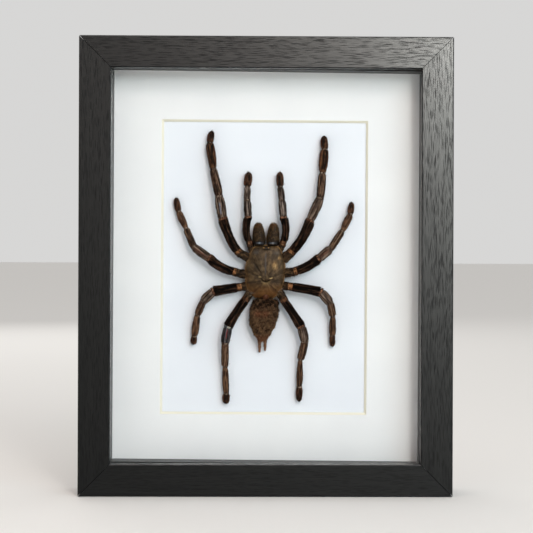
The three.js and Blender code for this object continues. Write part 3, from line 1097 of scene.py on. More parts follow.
@dataclass(frozen=True)
class Coat:
    """Hair that grows all over a piece, each hair a slim closed spike."""

    finish: Finish
    count: int
    length: float
    thickness: float = 0.07
    lean: float = 0.6
    untidy: float = 0.22
    seed: int = 0
    shortest: float = 0.55
    longest: float = 1.25
    tone_spread: float = 40.0

    def seeded(self, seed: int) -> "Coat":
        """The same coat with its own random draw, counted on from the seed that is given."""
        return replace(self, seed=self.seed + seed)

    def grow(
        self,
        piece: Body,
        share: Callable[[np.ndarray], np.ndarray] | None = None,
        skins: tuple[Finish, ...] = (),
    ) -> None:
        """Adds the hairs to a piece.

        Args:
            piece: The piece, with its vectors grain and flow.
            share: How thick the hair stands at each place; all over if left out.
            skins: The finishes that it grows on; all of them if left out.
        """
        mesh = piece.data
        mesh.calc_loop_triangles()
        corners = np.empty(len(mesh.loop_triangles) * 3, np.int32)
        mesh.loop_triangles.foreach_get("vertices", corners)
        corners = corners.reshape(-1, 3)
        points = places(mesh)[corners]
        square = np.cross(points[:, 1] - points[:, 0], points[:, 2] - points[:, 0])
        weight = np.linalg.norm(square, axis=1)
        if share is not None:
            weight = weight * share(points.mean(axis=1))
        if skins:
            slots = np.empty(len(corners), np.int32)
            mesh.loop_triangles.foreach_get("material_index", slots)
            names = {skin.name for skin in skins}
            hairy = [slot for slot, material in enumerate(mesh.materials) if material.name in names]
            weight = weight * np.isin(slots, hairy)
        draw = np.random.default_rng(self.seed)
        picks = draw.choice(len(corners), self.count, p=weight / weight.sum())
        mixing = draw.dirichlet((1.0, 1.0, 1.0), self.count)
        roots = (points[picks] * mixing[:, :, None]).sum(axis=1)
        normals = unit(square[picks])
        carried = self.carried(mesh, corners[picks, 0])
        direction = unit(
            normals * (1.0 - self.lean) + carried["flow"] * self.lean
            + draw.normal(0.0, self.untidy, (self.count, 3))
        )
        side = unit(np.cross(direction, draw.normal(0.0, 1.0, (self.count, 3))))
        self.attach(piece, roots - normals * self.thickness, direction, side, carried, draw)

    def carried(self, mesh: Mesh, corners: np.ndarray) -> dict[str, np.ndarray]:
        """Reads the vectors that each hair takes over from the skin under it.

        Args:
            mesh: The mesh that the hairs grow on.
            corners: The corner that each hair stands next to.

        Returns:
            One array for each vector, by its name.
        """
        found = {}
        for layer in mesh.attributes:
            if layer.data_type == "FLOAT_VECTOR" and layer.domain == "POINT" and layer.name != "position":
                values = np.empty(len(mesh.vertices) * 3, np.float32)
                layer.data.foreach_get("vector", values)
                found[layer.name] = values.reshape(-1, 3)[corners].astype(float)
        return found

    def attach(
        self,
        piece: Body,
        roots: np.ndarray,
        direction: np.ndarray,
        side: np.ndarray,
        carried: dict[str, np.ndarray],
        draw: np.random.Generator,
    ) -> None:
        """Makes the spikes and joins them to the piece.

        Args:
            piece: What they grow on.
            roots: Where they start.
            direction: Which way they point.
            side: A direction square to that.
            carried: The skin's vectors at the roots.
            draw: The source of the random lengths and tones.
        """
        other = np.cross(direction, side)
        length = self.length * draw.uniform(self.shortest, self.longest, (self.count, 1))
        spikes = np.empty((self.count, HAIR_CORNERS, 3))
        for corner in range(3):
            turn = math.tau * corner / 3
            spikes[:, corner] = roots + self.thickness * (math.cos(turn) * side + math.sin(turn) * other)
        spikes[:, 3] = roots + direction * length
        spike_faces = np.array([(0, 1, 3), (1, 2, 3), (2, 0, 3), (2, 1, 0)])
        starts = HAIR_CORNERS * np.arange(self.count)
        faces = (spike_faces[None] + starts[:, None, None]).reshape(-1, 3)
        mesh = bpy.data.meshes.new("hair")
        mesh.from_pydata(spikes.reshape(-1, 3).tolist(), [], faces.tolist())
        mesh.materials.append(material_of(self.finish))
        tones = draw.uniform(-self.tone_spread, self.tone_spread, (self.count, 3))
        for name, values in carried.items():
            shown = values + tones if name == "grain" else values
            store(mesh, name, np.repeat(shown, HAIR_CORNERS, axis=0))
        hair = bpy.data.objects.new("hair", mesh)
        bpy.context.scene.collection.objects.link(hair)
        join(piece.name, [piece, hair])


# ---------------------------------------------------------------- the spider

FEMUR_COAT = Coat(FEMUR_HAIR, count=900, length=1.0, thickness=0.04, lean=0.8)
LIMB_COAT = Coat(LIMB_HAIR, count=2600, length=1.0, thickness=0.04, lean=0.76, seed=30)
BRISTLES = Coat(LIMB_HAIR, count=260, length=2.0, thickness=0.05, lean=0.5, seed=60)
DOWN = Coat(CARAPACE_HAIR, count=3000, length=0.7, thickness=0.035, lean=0.9, seed=31)
FRINGE = Coat(FRINGE_HAIR, count=1000, length=1.2, thickness=0.045, lean=0.7, seed=32)
REAR_BRISTLES = Coat(PALE_BRISTLE, count=26, length=4.2, thickness=0.05, lean=0.8, seed=33)
JAW_COAT = Coat(CARAPACE_HAIR, count=1800, length=0.8, thickness=0.045, lean=0.8, seed=41)
BROWN_COAT = Coat(BROWN_FUR, count=12500, length=0.95, thickness=0.06, lean=0.5, untidy=0.5, seed=51)
BLACK_COAT = Coat(BLACK_FUR, count=2600, length=1.7, thickness=0.08, lean=0.4, untidy=0.5, seed=52)
RED_COAT = Coat(RED_FUR, count=1500, length=0.9, thickness=0.05, lean=0.55, untidy=0.45, seed=53)
TAIL_COAT = Coat(TAIL_FUR, count=420, length=0.7, thickness=0.04, lean=0.7, seed=61)


@dataclass(frozen=True)
class CardPlace:
    """Where the spider's own axes lie: on the front of the card, turned a little with it."""

    pit: tuple[float, float] = (-0.2, -8.9)
    turn: float = math.radians(0.2)

    def matrix(self) -> Matrix:
        """Takes millimetres on the card to metres in the frame.

        Returns:
            The placing matrix.
        """
        low, high = CAD_BOX
        middle = Vector((0.0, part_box("backing_card")[0].y, (low.z + high.z) / 2))
        pit = Vector((self.pit[0] * MM, 0.0, self.pit[1] * MM))
        upright = Matrix(((1, 0, 0), (0, 0, -1), (0, 1, 0))).to_4x4()
        turned = Matrix.Translation(middle) @ Matrix.Rotation(self.turn, 4, "Y")
        return turned @ Matrix.Translation(pit) @ upright @ Matrix.Scale(MM, 4)


CARD = CardPlace()


def settle(piece: Body, nodes: Iterable[str]) -> None:
    """Puts a finished piece of the spider in the frame in place of its plain solids.

    Args:
        piece: The piece, in millimetres on the card.
        nodes: The plain solids that it stands for.
    """
    piece.data.transform(CARD.matrix())
    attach(piece, "root")
    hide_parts(*nodes)
    LOG.info("%s: %d faces", piece.name, len(piece.data.polygons))


class Part(Enum):
    """The parts of a limb: each with its finish, and its width along it as shares of its full width."""

    COXA = (COXA_SKIN, ((0, 0.86), (0.12, 1), (0.5, 1.02), (0.88, 0.98), (1, 0.9)))
    TROCHANTER = (COXA_SKIN, ((0, 0.9), (0.3, 1), (0.7, 1), (1, 0.94)))
    FEMUR = (
        FEMUR_SKIN,
        ((0, 0.92), (0.06, 0.97), (0.25, 0.95), (0.5, 0.96), (0.78, 1.03), (0.93, 1.12), (1, 1.08)),
    )
    PATELLA = (PATELLA_SKIN, ((0, 0.86), (0.08, 0.97), (0.3, 1), (0.6, 1.04), (0.85, 1), (1, 0.9)))
    TIBIA = (TIBIA_SKIN, ((0, 0.86), (0.07, 0.96), (0.35, 1.03), (0.65, 1), (0.9, 0.96), (1, 0.88)))
    METATARSUS = (
        METATARSUS_SKIN, ((0, 0.72), (0.08, 0.84), (0.3, 0.98), (0.6, 1.06), (0.85, 0.98), (1, 0.82)),
    )
    TARSUS = (
        TARSUS_SKIN,
        ((0, 0.92), (0.1, 0.98), (0.4, 1.04), (0.7, 0.98), (0.87, 0.8), (0.95, 0.56), (1, 0.34)),
    )

    @property
    def finish(self) -> Finish:
        """What this part of the limb is finished in."""
        return self.value[0]

    @property
    def profile(self) -> tuple[tuple[float, float], ...]:
        """Pairs of a share of the length and a share of the width."""
        return self.value[1]


LEG_PARTS = (Part.COXA, Part.TROCHANTER, Part.FEMUR, Part.PATELLA, Part.TIBIA, Part.METATARSUS, Part.TARSUS)
PALP_PARTS = (Part.COXA, Part.TROCHANTER, Part.FEMUR, Part.PATELLA, Part.TIBIA, Part.TARSUS)
LEG_HEIGHTS = (5.2, 5.8, 8.0, 7.6, 5.0, 3.2, 2.6)
PALP_HEIGHTS = (4.6, 5.0, 6.6, 6.4, 5.0, 3.6)


@dataclass(frozen=True)
class Limb:
    """A leg or a palp: its joints in plan, from the hip to the tip, and its widths from the coxa on."""

    name: str
    node: str
    joints: tuple[tuple[float, float], ...]
    widths: tuple[float, ...]
    bow: float
    seed: int
    parts: tuple[Part, ...] = LEG_PARTS
    heights: tuple[float, ...] = LEG_HEIGHTS
    hidden_coxa: float = 3.2
    coxa_share: float = 0.52
    flatness: float = 0.86
    sides: int = 16
    cap: float = 0.3
    cap_share: float = 0.74
    patella: Finish = PATELLA_SKIN
    tibia: Finish = TIBIA_SKIN
    metatarsus: Finish = PLAIN_METATARSUS_SKIN
    hip: Finish = COXA_SKIN
    knee: Finish = KNEE_MEMBRANE
    bands: tuple[int, ...] = (1,)
    joint_shares: tuple[float, ...] = (0.92, 0.94, 0.97, 0.9, 0.7, 0.84)
    joint_slack: tuple[float, ...] = (0.15, 0.5, 0.17, 0.16, 0.34, 0.22)
    banded_coxa_slack: float = 0.4
    deep_flutes: tuple[float, ...] = (67.5, 112.5, 202.5, 337.5)
    deep_share: float = 0.12
    shallow_flutes: tuple[float, ...] = (22.5, 157.5)
    shallow_share: float = 0.07

    def path(self) -> list[Vector]:
        """The ends of the parts, on the card.

        Returns:
            One point more than there are parts.
        """
        points = [Vector((*joint, height)) for joint, height in zip(self.joints, self.heights)]
        hip, knee = points[0], points[1]
        inside = hip - (knee - hip).normalized() * self.hidden_coxa
        return [inside, hip.lerp(knee, self.coxa_share), *points[1:]]

    def rings(self, part: Part, width: float, length: float, draw: np.random.Generator) -> list[Ring]:
        """The cross-sections of one part, each a little uneven.

        Args:
            part: Which part.
            width: Its full width.
            length: Its length.
            draw: The source of the unevenness.

        Returns:
            The rings.
        """
        bow = self.bow if part is Part.FEMUR else 0.0
        cap = min(self.cap, length / 6)
        stations = [(cap + at * (length - 2 * cap), share) for at, share in part.profile]
        (_, first), (_, last) = stations[0], stations[-1]
        stations = [(0.0, first * self.cap_share), *stations, (length, last * self.cap_share)]
        made = []
        for at, share in stations:
            wide = width * share * draw.uniform(0.96, 1.04)
            deep = width * share * self.flatness * draw.uniform(0.95, 1.05)
            drift = draw.normal(0.0, 0.08)
            lean = bow * 4 * (at / length) * (1 - at / length)
            made.append(Ring(at, wide, deep, (lean + drift, 0.0)))
        return made

    def skin_of(self, part: Part) -> Finish:
        """Finds what a part of this limb is finished in.

        Args:
            part: Which part.

        Returns:
            Its finish.
        """
        own = {
            Part.TROCHANTER: self.hip, Part.PATELLA: self.patella, Part.TIBIA: self.tibia,
            Part.METATARSUS: self.metatarsus,
        }
        return own.get(part, part.finish)

    def draw_part(
        self, part: Part, width: float, start: Vector, end: Vector, draw: np.random.Generator
    ) -> Body:
        """Models one part of the limb, fluted along its length unless it is the tarsus.

        Args:
            part: Which part.
            width: Its full width.
            start: Its near end.
            end: Its far end.
            draw: The source of the unevenness.

        Returns:
            The part, in place.
        """
        length = (end - start).length
        rings = self.rings(part, width, length, draw)
        obj = draw_out(f"{self.name} {part.name}", rings, self.sides, self.skin_of(part))
        if part is not Part.TARSUS:
            flute(obj, rings, self.deep_flutes, width * self.deep_share)
            flute(obj, rings, self.shallow_flutes, width * self.shallow_share)
        self.tag(obj, width, length, draw.uniform(0.0, 300.0))
        lay(obj, start, end)
        return obj

    def tag(self, obj: Body, width: float, length: float, offset: float) -> None:
        """Stores where each corner lies in the straight part, for the finish to read.

        Args:
            obj: The part, still along Z.
            width: Its full width.
            length: Its length.
            offset: How far its grain is shifted, so that no two parts show the same lines.
        """
        points = places(obj.data)
        store(obj.data, "grain", points + np.array((0.0, 0.0, offset)))
        sizes = np.array((width / 2, width * self.flatness / 2, length))
        store(obj.data, "span", points / sizes)
        along = points[:, 2]
        store(obj.data, "ends", np.column_stack((along, length - along, along)))

    def draw_joint(self, index: int, before: float, after: float, path: list[Vector]) -> Body:
        """Models the soft skin between two parts.

        Args:
            index: The joint's number, counted from the coxa.
            before: The width of the part on its near side.
            after: The width of the part on its far side.
            path: The ends of the parts.

        Returns:
            The skin, in place.
        """
        middle = path[index + 1]
        near = (path[index] - middle).normalized() * self.reach(index)
        far = (path[index + 2] - middle).normalized() * self.reach(index)
        start, end = middle + near, middle + far
        length = (end - start).length
        width = min(before, after) * self.joint_shares[index]
        rings = [
            Ring(0.0, width * 0.8, width * 0.7),
            Ring(length * 0.3, width, width * self.flatness),
            Ring(length * 0.7, width, width * self.flatness),
            Ring(length, width * 0.8, width * 0.7),
        ]
        plain = {0: COXA_SKIN, 1: self.hip, 2: self.knee}.get(index, DULL_MEMBRANE)
        finish = MEMBRANE if index in self.bands else plain
        obj = draw_out(f"{self.name} joint {index}", rings, self.sides, finish)
        self.tag(obj, width, length, self.seed * 7.0 + index)
        lay(obj, start, end)
        return obj

    def reach(self, index: int) -> float:
        """How far the soft skin of a joint runs into the parts beside it."""
        return 1.5 if index == 1 else 1.0

    def slack(self, index: int) -> float:
        """How much of the soft skin shows on each side of a joint."""
        return self.banded_coxa_slack if index == 0 and 0 in self.bands else self.joint_slack[index]

    def build(self) -> Body:
        """Models the limb and its hair.

        Returns:
            The limb, on the card.
        """
        draw = np.random.default_rng(self.seed)
        path = self.path()
        bodies = []
        for index, (part, width) in enumerate(zip(self.parts, self.widths)):
            start, end = path[index], path[index + 1]
            along = (end - start).normalized()
            if index > 0:
                start = start + along * self.slack(index - 1)
            if index < len(self.parts) - 1:
                end = end - along * self.slack(index)
            bodies.append(self.draw_part(part, width, start, end, draw))
        for index, (before, after) in enumerate(pairwise(self.widths)):
            bodies.append(self.draw_joint(index, before, after, path))
        limb = join(self.name, bodies)
        refine(limb, 2, lumps=0.4, lump_size=1.5)
        refine(limb, 0, lumps=0.16, lump_size=0.5)
        brown = (self.patella, self.tibia, self.metatarsus, self.hip, TARSUS_SKIN, COXA_SKIN, DULL_MEMBRANE)
        FEMUR_COAT.seeded(self.seed).grow(limb, skins=(FEMUR_SKIN,))
        LIMB_COAT.seeded(self.seed).grow(limb, skins=brown)
        BRISTLES.seeded(self.seed).grow(limb)
        settle(limb, [self.node])
        return limb


LIMBS = (
    Limb("left_leg_1", "leg_left_1", (
        (-12, 14.5), (-17.5, 17.4), (-26.8, 38), (-29.1, 51.5), (-32.9, 68.5), (-35.3, 85), (-33.9, 92.5),
    ), (6.0, 6.2, 6.5, 6.6, 5.8, 6.0, 4.3), 1.1, 11, patella=PATELLA_HIGHLIGHT_SKIN, metatarsus=METATARSUS_SKIN),
    Limb("left_leg_2", "leg_left_2", (
        (-14.5, 4), (-19.5, 5), (-35, 13.6), (-44.5, 20.1), (-49.4, 31.8), (-54.4, 42.3), (-56, 51),
    ), (6.1, 5.9, 6.2, 6.0, 4.8, 4.6, 4.0), 1.3, 12, patella=ROSY_PATELLA_SKIN),
    Limb("left_leg_3", "leg_left_3", (
        (-14.5, -4), (-17, -4.4), (-32.5, -6.9), (-38.5, -13), (-42.2, -21.6), (-44.1, -35), (-44.7, -40.2),
    ), (5.8, 5.8, 6.7, 6.3, 4.9, 4.9, 3.9), 0.0, 13, tibia=REAR_TIBIA_SKIN, hip=HIP_SKIN, bands=(0, 1)),
    Limb("left_leg_4", "leg_left_4", (
        (-10.5, -9), (-12.3, -11.8), (-23.1, -28.9), (-24.8, -39), (-24.8, -53.5), (-24, -70.5),
        (-24.2, -76.8),
    ), (5.8, 5.8, 6.2, 6.2, 5.3, 4.4, 4.6), -0.5, 14, patella=RED_PATELLA_SKIN,
        tibia=REAR_TIBIA_SKIN, hip=HIP_SKIN, knee=GREY_KNEE_MEMBRANE, bands=()),
    Limb("right_leg_1", "leg_right_1", (
        (12.5, 14.7), (16.0, 17.6), (27.1, 37.2), (33.3, 50.9), (34.7, 66.5), (36, 81.5), (35.5, 90),
    ), (6.9, 6.8, 6.6, 6.3, 5.7, 6.0, 4.7), -1.5, 15, metatarsus=METATARSUS_SKIN),
    Limb("right_leg_2", "leg_right_2", (
        (14, 5), (18.5, 5.6), (32.5, 13.7), (39.8, 19.7), (47.2, 30.9), (52.3, 41.4), (53.1, 49),
    ), (6.4, 6.2, 6.4, 6.1, 4.9, 4.6, 4.1), -0.8, 16, patella=ROSY_PATELLA_SKIN),
    Limb("right_leg_3", "leg_right_3", (
        (13.5, -3.5), (16, -3.8), (34, -6.8), (39.8, -13.4), (41.8, -22), (41.6, -34), (41.6, -41),
    ), (5.8, 5.8, 6.5, 6.5, 5.2, 4.6, 3.8), 0.2, 17, tibia=REAR_TIBIA_SKIN, hip=HIP_SKIN, bands=(0, 1)),
    Limb("right_leg_4", "leg_right_4", (
        (9.5, -9), (11.5, -12.4), (22.2, -28.3), (24.6, -37.6), (21.7, -49), (21.3, -66), (21.3, -75.2),
    ), (5.9, 5.8, 5.9, 6.2, 5.4, 4.2, 4.2), 0.0, 18, tibia=REAR_TIBIA_SKIN, hip=HIP_SKIN, bands=()),
    Limb("left_palp", "palp_left", (
        (-8.5, 18.5), (-10.5, 23.3), (-11.1, 39), (-11.9, 49.5), (-11.7, 58), (-11, 67.1),
    ), (4.7, 4.7, 5.3, 5.1, 4.6, 5.0), 1.6, 19, PALP_PARTS, PALP_HEIGHTS,
        patella=PALP_PATELLA_SKIN, tibia=PALP_TIBIA_SKIN, hip=HIP_SKIN, bands=()),
    Limb("right_palp", "palp_right", (
        (8.5, 19), (11, 23.5), (10.7, 39), (9.6, 49.5), (8.6, 58), (8.3, 67.4),
    ), (4.7, 4.7, 5.3, 5.1, 4.5, 4.6), -1.4, 20, PALP_PARTS, PALP_HEIGHTS,
        patella=PALP_PATELLA_SKIN, tibia=PALP_TIBIA_SKIN, hip=HIP_SKIN, bands=()),
)


@dataclass(frozen=True)
class Lobe:
    """A body lobe drawn along the spider, from rows of: place along, left edge and right edge."""

    name: str
    outline: Outline
    low: float
    high: float
    finish: Finish
    sides: int = 24

    def build(self) -> Body:
        """Models the lobe, its flow towards the spider's tail or head.

        Returns:
            The lobe, on the card.
        """
        first, last = self.outline[0][0], self.outline[-1][0]
        ahead = 1.0 if last > first else -1.0
        middle = (self.low + self.high) / 2
        widest = max(right - left for _, left, right in self.outline)
        rings = []
        for at, left, right in self.outline:
            width = right - left
            depth = (self.high - self.low) * math.sqrt(width / widest)
            shift = -ahead * (left + right) / 2
            rings.append(Ring(abs(at - first), width, depth, (shift, 0.0)))
        obj = draw_out(self.name, rings, self.sides, self.finish)
        store(obj.data, "grain", places(obj.data))
        lay(obj, Vector((0.0, first, middle)), Vector((0.0, last, middle)))
        return obj


class Plan:
    """Where the corners of the carapace lie: as plain places, and by distance and bearing from the pit.

    The plain places are views of the corners, so they follow a move. Distance and bearing stay as they were.
    """

    def __init__(self, points: np.ndarray) -> None:
        """Measures the corners.

        Args:
            points: Their places, one row each.
        """
        self.across, self.ahead, self.height = points.T
        self.radius = np.hypot(self.across, self.ahead)
        self.angle = np.arctan2(self.across, self.ahead)

    def spot(self, place: tuple[float, float], size: tuple[float, float]) -> np.ndarray:
        """How close each corner lies to a soft-edged spot."""
        return spot(self.across, self.ahead, place, size)

    def furrow(self, degrees: float, width: float) -> np.ndarray:
        """How deep a pair of furrows is that run out from the pit, to the left and the right alike."""
        return bell(np.abs(self.angle), math.radians(degrees), math.radians(width))


@dataclass(frozen=True)
class Prosoma:
    """The carapace with its relief, eyes and fringe, the underside, and the stalk behind."""

    edge: Outline = (
        (-11.5, -3.0, 2.4), (-10.9, -5.9, 4.9), (-9.2, -8.7, 7.3), (-6.8, -10.9, 9.3), (-3.6, -12.1, 10.5),
        (1.7, -12.9, 11.7), (6.8, -12.9, 12.2), (11.9, -12.1, 11.8), (17.1, -9.9, 10.2), (20.4, -8.1, 8.7),
        (22.0, -5.7, 6.4),
    )
    low: float = 2.0
    top: float = 10.4
    shoulder: float = 5.6
    corners: int = 40
    pit_width: float = 2.9
    pit_depth: float = 0.9
    eye_place: tuple[float, float] = (0.12, 20.0)
    rub_place: tuple[float, float] = (5.7, 9.1)
    fleck_place: tuple[float, float] = (8.2, 13.7)
    hook_place: tuple[float, float] = (3.3, 1.3)
    dome: tuple[tuple[float, float], ...] = (
        (0.18, 1.12), (0.34, 1.14), (0.46, 1.135), (0.56, 1.11), (0.7, 1.04), (0.82, 0.92), (0.92, 0.72),
        (0.975, 0.48), (1.0, 0.26), (1.0, 0.08),
    )
    dome_middle: tuple[float, float, float] = (0.0, 2.0, 0.0)
    foot_share: float = 0.88
    head_furrow: float = 34.0
    head_furrow_width: float = 4.6
    head_furrow_depth: float = 0.2
    rays: tuple[float, ...] = (64.0, 98.0, 135.0)
    ray_width: float = 4.8
    ray_depth: float = 0.12
    mound_size: tuple[float, float] = (2.6, 1.3)
    mound_height: float = 1.0
    chip_depth: float = 0.5
    hump_height: float = 0.3
    midline_depth: float = 0.07
    midline: float = -0.1
    grain_spread: float = 9.0
    eyes: tuple[tuple[float, float, float], ...] = (
        (0.5, 0.35, 0.4), (1.4, 0.15, 0.62), (1.75, -0.55, 0.34), (0.9, -0.6, 0.3),
    )
    tan_eye: int = 1
    stalk: Outline = ((-8.4, -1.7, 1.7), (-9.8, -2.1, 2.1), (-11.4, -2.0, 2.0), (-13.0, -1.4, 1.4))

    def rim(self) -> np.ndarray:
        """The outline in plan, as evenly spread corners.

        Returns:
            One row of X and Y for each corner, counter-clockwise.
        """
        rows = np.array(self.edge)
        loop = np.vstack((rows[:, (2, 0)], rows[::-1][:, (1, 0)]))
        steps = np.linalg.norm(np.diff(np.vstack((loop, loop[:1])), axis=0), axis=1)
        travelled = np.concatenate(((0.0,), np.cumsum(steps)))
        wanted = np.linspace(0.0, travelled[-1], self.corners, endpoint=False)
        closed = np.vstack((loop, loop[:1]))
        return np.column_stack([np.interp(wanted, travelled, closed[:, axis]) for axis in (0, 1)])

    def build_body(self) -> Body:
        """Models the domed body from its outline.

        Returns:
            The body, on the card.
        """
        deselect_all()
        bpy.ops.mesh.primitive_circle_add(vertices=self.corners, radius=10.0, fill_type="NGON")
        obj = bpy.context.active_object
        obj.name = "prosoma_body"
        plan = self.rim()
        reshape(obj.data, np.column_stack((plan, np.full(self.corners, self.low))))
        bpy.ops.object.mode_set(mode="EDIT")
        foot = (self.foot_share, self.foot_share, 1.0)
        bpy.ops.transform.resize(value=foot, center_override=self.dome_middle)
        height, size = 0.0, 1.0
        for next_height, next_size in self.dome:
            rise = (next_height - height) * (self.top - self.low)
            bpy.ops.mesh.extrude_region_move(TRANSFORM_OT_translate={"value": (0.0, 0.0, rise)})
            growth = (next_size / size, next_size / size, 1.0)
            bpy.ops.transform.resize(value=growth, center_override=self.dome_middle)
            height, size = next_height, next_size
        bpy.ops.mesh.poke()
        bpy.ops.mesh.select_all(action="SELECT")
        bpy.ops.mesh.normals_make_consistent(inside=False)
        bpy.ops.object.mode_set(mode="OBJECT")
        obj.data.materials.append(material_of(CARAPACE))
        refine(obj, 3)
        self.carve(obj)
        return obj

    def smile(self, across: np.ndarray, ahead: np.ndarray) -> np.ndarray:
        """Tells how close places lie to the curved line of the pit.

        Args:
            across: How far right they lie.
            ahead: How far ahead they lie.

        Returns:
            1 on the line, 0 away from it.
        """
        line = -0.65 + 0.15 * across**2
        within = smoothstep(np.abs(across), self.pit_width + 0.3, self.pit_width - 0.5)
        return bell(ahead, line, 0.5) * within

    def mound(self, plan: Plan) -> np.ndarray:
        """Tells how high the eye mound stands.

        Args:
            plan: Where the corners lie.

        Returns:
            1 on its top, 0 away from it.
        """
        out = (plan.across - self.eye_place[0]) / self.mound_size[0]
        up = (plan.ahead - self.eye_place[1]) / self.mound_size[1]
        return np.exp(-((out**2 + up**2) ** 1.5))

    def carve(self, obj: Body) -> None:
        """Presses the pit and furrows into the carapace, raises the eye mound, and marks its colours, with
        painted shade in the pit and furrows among them.

        Args:
            obj: The smooth body.
        """
        points = places(obj.data)
        plan = Plan(points)
        across, ahead, radius = plan.across, plan.ahead, plan.radius
        hook_x, hook_y = self.hook_place
        on_top = smoothstep(plan.height, self.shoulder, self.shoulder + 2.0)
        head = plan.furrow(self.head_furrow, self.head_furrow_width) * between(radius, 3.0, 7.0, 11.0, 18.0)
        rays = sum(plan.furrow(degrees, self.ray_width) for degrees in self.rays)
        rays = rays * between(radius, 1.8, 4.5, 9.0, 17.0)
        pit = self.smile(across, ahead)
        chip = plan.spot((hook_x - 0.6, hook_y + 0.6), (0.8, 0.5))
        relief = -self.head_furrow_depth * head - self.ray_depth * rays - self.pit_depth * pit
        relief += self.mound_height * self.mound(plan) - self.chip_depth * chip
        relief += self.hump_height * plan.spot((0.0, -2.2), (3.0, 1.2))
        relief -= self.midline_depth * bell(across, self.midline, 0.5) * smoothstep(ahead, 2.0, 5.0)
        points[:, 2] += relief * on_top
        reshape(obj.data, points)
        # The pit, the furrows and the chip are painted dark as well: painted shade in the hollows.
        self.mark_colours(obj, plan, pit, 0.7 * head + 0.55 * rays + chip)

    def mark_colours(self, obj: Body, plan: Plan, pit: np.ndarray, grooves: np.ndarray) -> None:
        """Marks where the carapace is golden, dark or pale, where painted shade and a painted highlight lie,
        and which way its fine lines run.

        Args:
            obj: The body.
            plan: Where its corners lie.
            pit: How close each corner is to the pit's line, which is painted dark as shade.
            grooves: How deep each corner lies in a furrow, which is painted dark as shade.
        """
        across, ahead, height = plan.across, plan.ahead, plan.height
        rub = plan.spot(self.rub_place, (1.4, 2.1)) + 0.7 * plan.spot(self.fleck_place, (0.9, 1.1))
        rear = 0.62 * smoothstep(ahead, 0.0, -9.0)
        side = 0.35 * smoothstep(plan.radius, 9.0, 14.0) * smoothstep(ahead, 8.0, 1.0)
        rim = 0.5 * between(height, 4.4, 5.4, 6.4, 7.6)
        warm = np.clip(rear + side + rim + rub, 0.0, 1.0)
        # painted shade: darker low down, on the sides and underneath
        under = smoothstep(height, 4.2, 3.2)
        eye_x, eye_y = self.eye_place
        eyes = np.exp(-(((across - eye_x) / 2.7) ** 4 + ((ahead - eye_y) / 1.4) ** 4))
        # dark: the eye mound's own dark colour, and painted shade in the pit, the furrows and low down
        dark = np.clip(pit + 0.85 * eyes + 0.6 * under + grooves, 0.0, 1.0)
        # painted highlight, blue-grey: a line along the middle and two patches on the front slopes
        line = bell(across, self.midline, 0.4) * between(ahead, 2.5, 6.0, 15.0, 18.5)
        front_highlights = plan.spot((-6.2, 17.4), (1.7, 1.1)) + plan.spot((6.9, 17.1), (1.7, 1.0))
        cool = np.clip(0.6 * line + 0.45 * front_highlights, 0.0, 0.9)
        store(obj.data, "cool", np.column_stack((cool, cool, cool)))
        pale = np.clip(self.lip(plan) + self.scratches(plan, rub), 0.0, 0.9)
        store(obj.data, "marks", np.column_stack((warm, dark, pale)))
        right, forward = np.sin(plan.angle), np.cos(plan.angle)
        grain = (self.grain_spread * right, self.grain_spread * forward, plan.radius)
        store(obj.data, "grain", np.column_stack(grain))
        outward = np.column_stack((0.45 * right, 0.45 * forward + 0.4, np.full(len(right), 0.1)))
        store(obj.data, "flow", unit(outward))

    def lip(self, plan: Plan) -> np.ndarray:
        """Tells how pale the skin is round the pit.

        Args:
            plan: Where the corners lie.

        Returns:
            The share of the pale colour.
        """
        behind = np.abs(math.pi - np.abs(plan.angle))
        fan = np.cos(13.0 * behind) ** 4 * smoothstep(behind, 0.9, 0.5)
        fan *= between(plan.radius, 1.6, 2.0, 2.6, 4.4)
        front = self.smile(plan.across, plan.ahead + 0.9)
        return 0.12 * front + 0.16 * fan + 0.4 * plan.spot((-3.7, 2.2), (0.8, 0.4))

    def scratches(self, plan: Plan, rub: np.ndarray) -> np.ndarray:
        """Tells how pale the edge, the hooked scratch and the rubbed flecks are.

        Args:
            plan: Where the corners lie.
            rub: How rubbed each corner is.

        Returns:
            The share of the pale colour.
        """
        across, ahead = plan.across, plan.ahead
        fleck = np.random.default_rng(5).uniform(0.35, 1.0, len(across))
        hook_x, hook_y = self.hook_place
        hook_line = np.abs(ahead - hook_y - 0.35 * np.abs(across - hook_x + 0.3))
        hook = bell(hook_line, 0.0, 0.28) * smoothstep(np.abs(across - hook_x), 1.1, 0.6)
        speck = np.sin(across * 5.1 + 2.0 * np.sin(ahead * 2.3)) * np.sin(ahead * 3.7 + across) > -0.2
        return 0.3 * between(plan.height, 5.0, 5.6, 6.3, 7.0) + 0.8 * hook + 0.75 * rub * speck * fleck

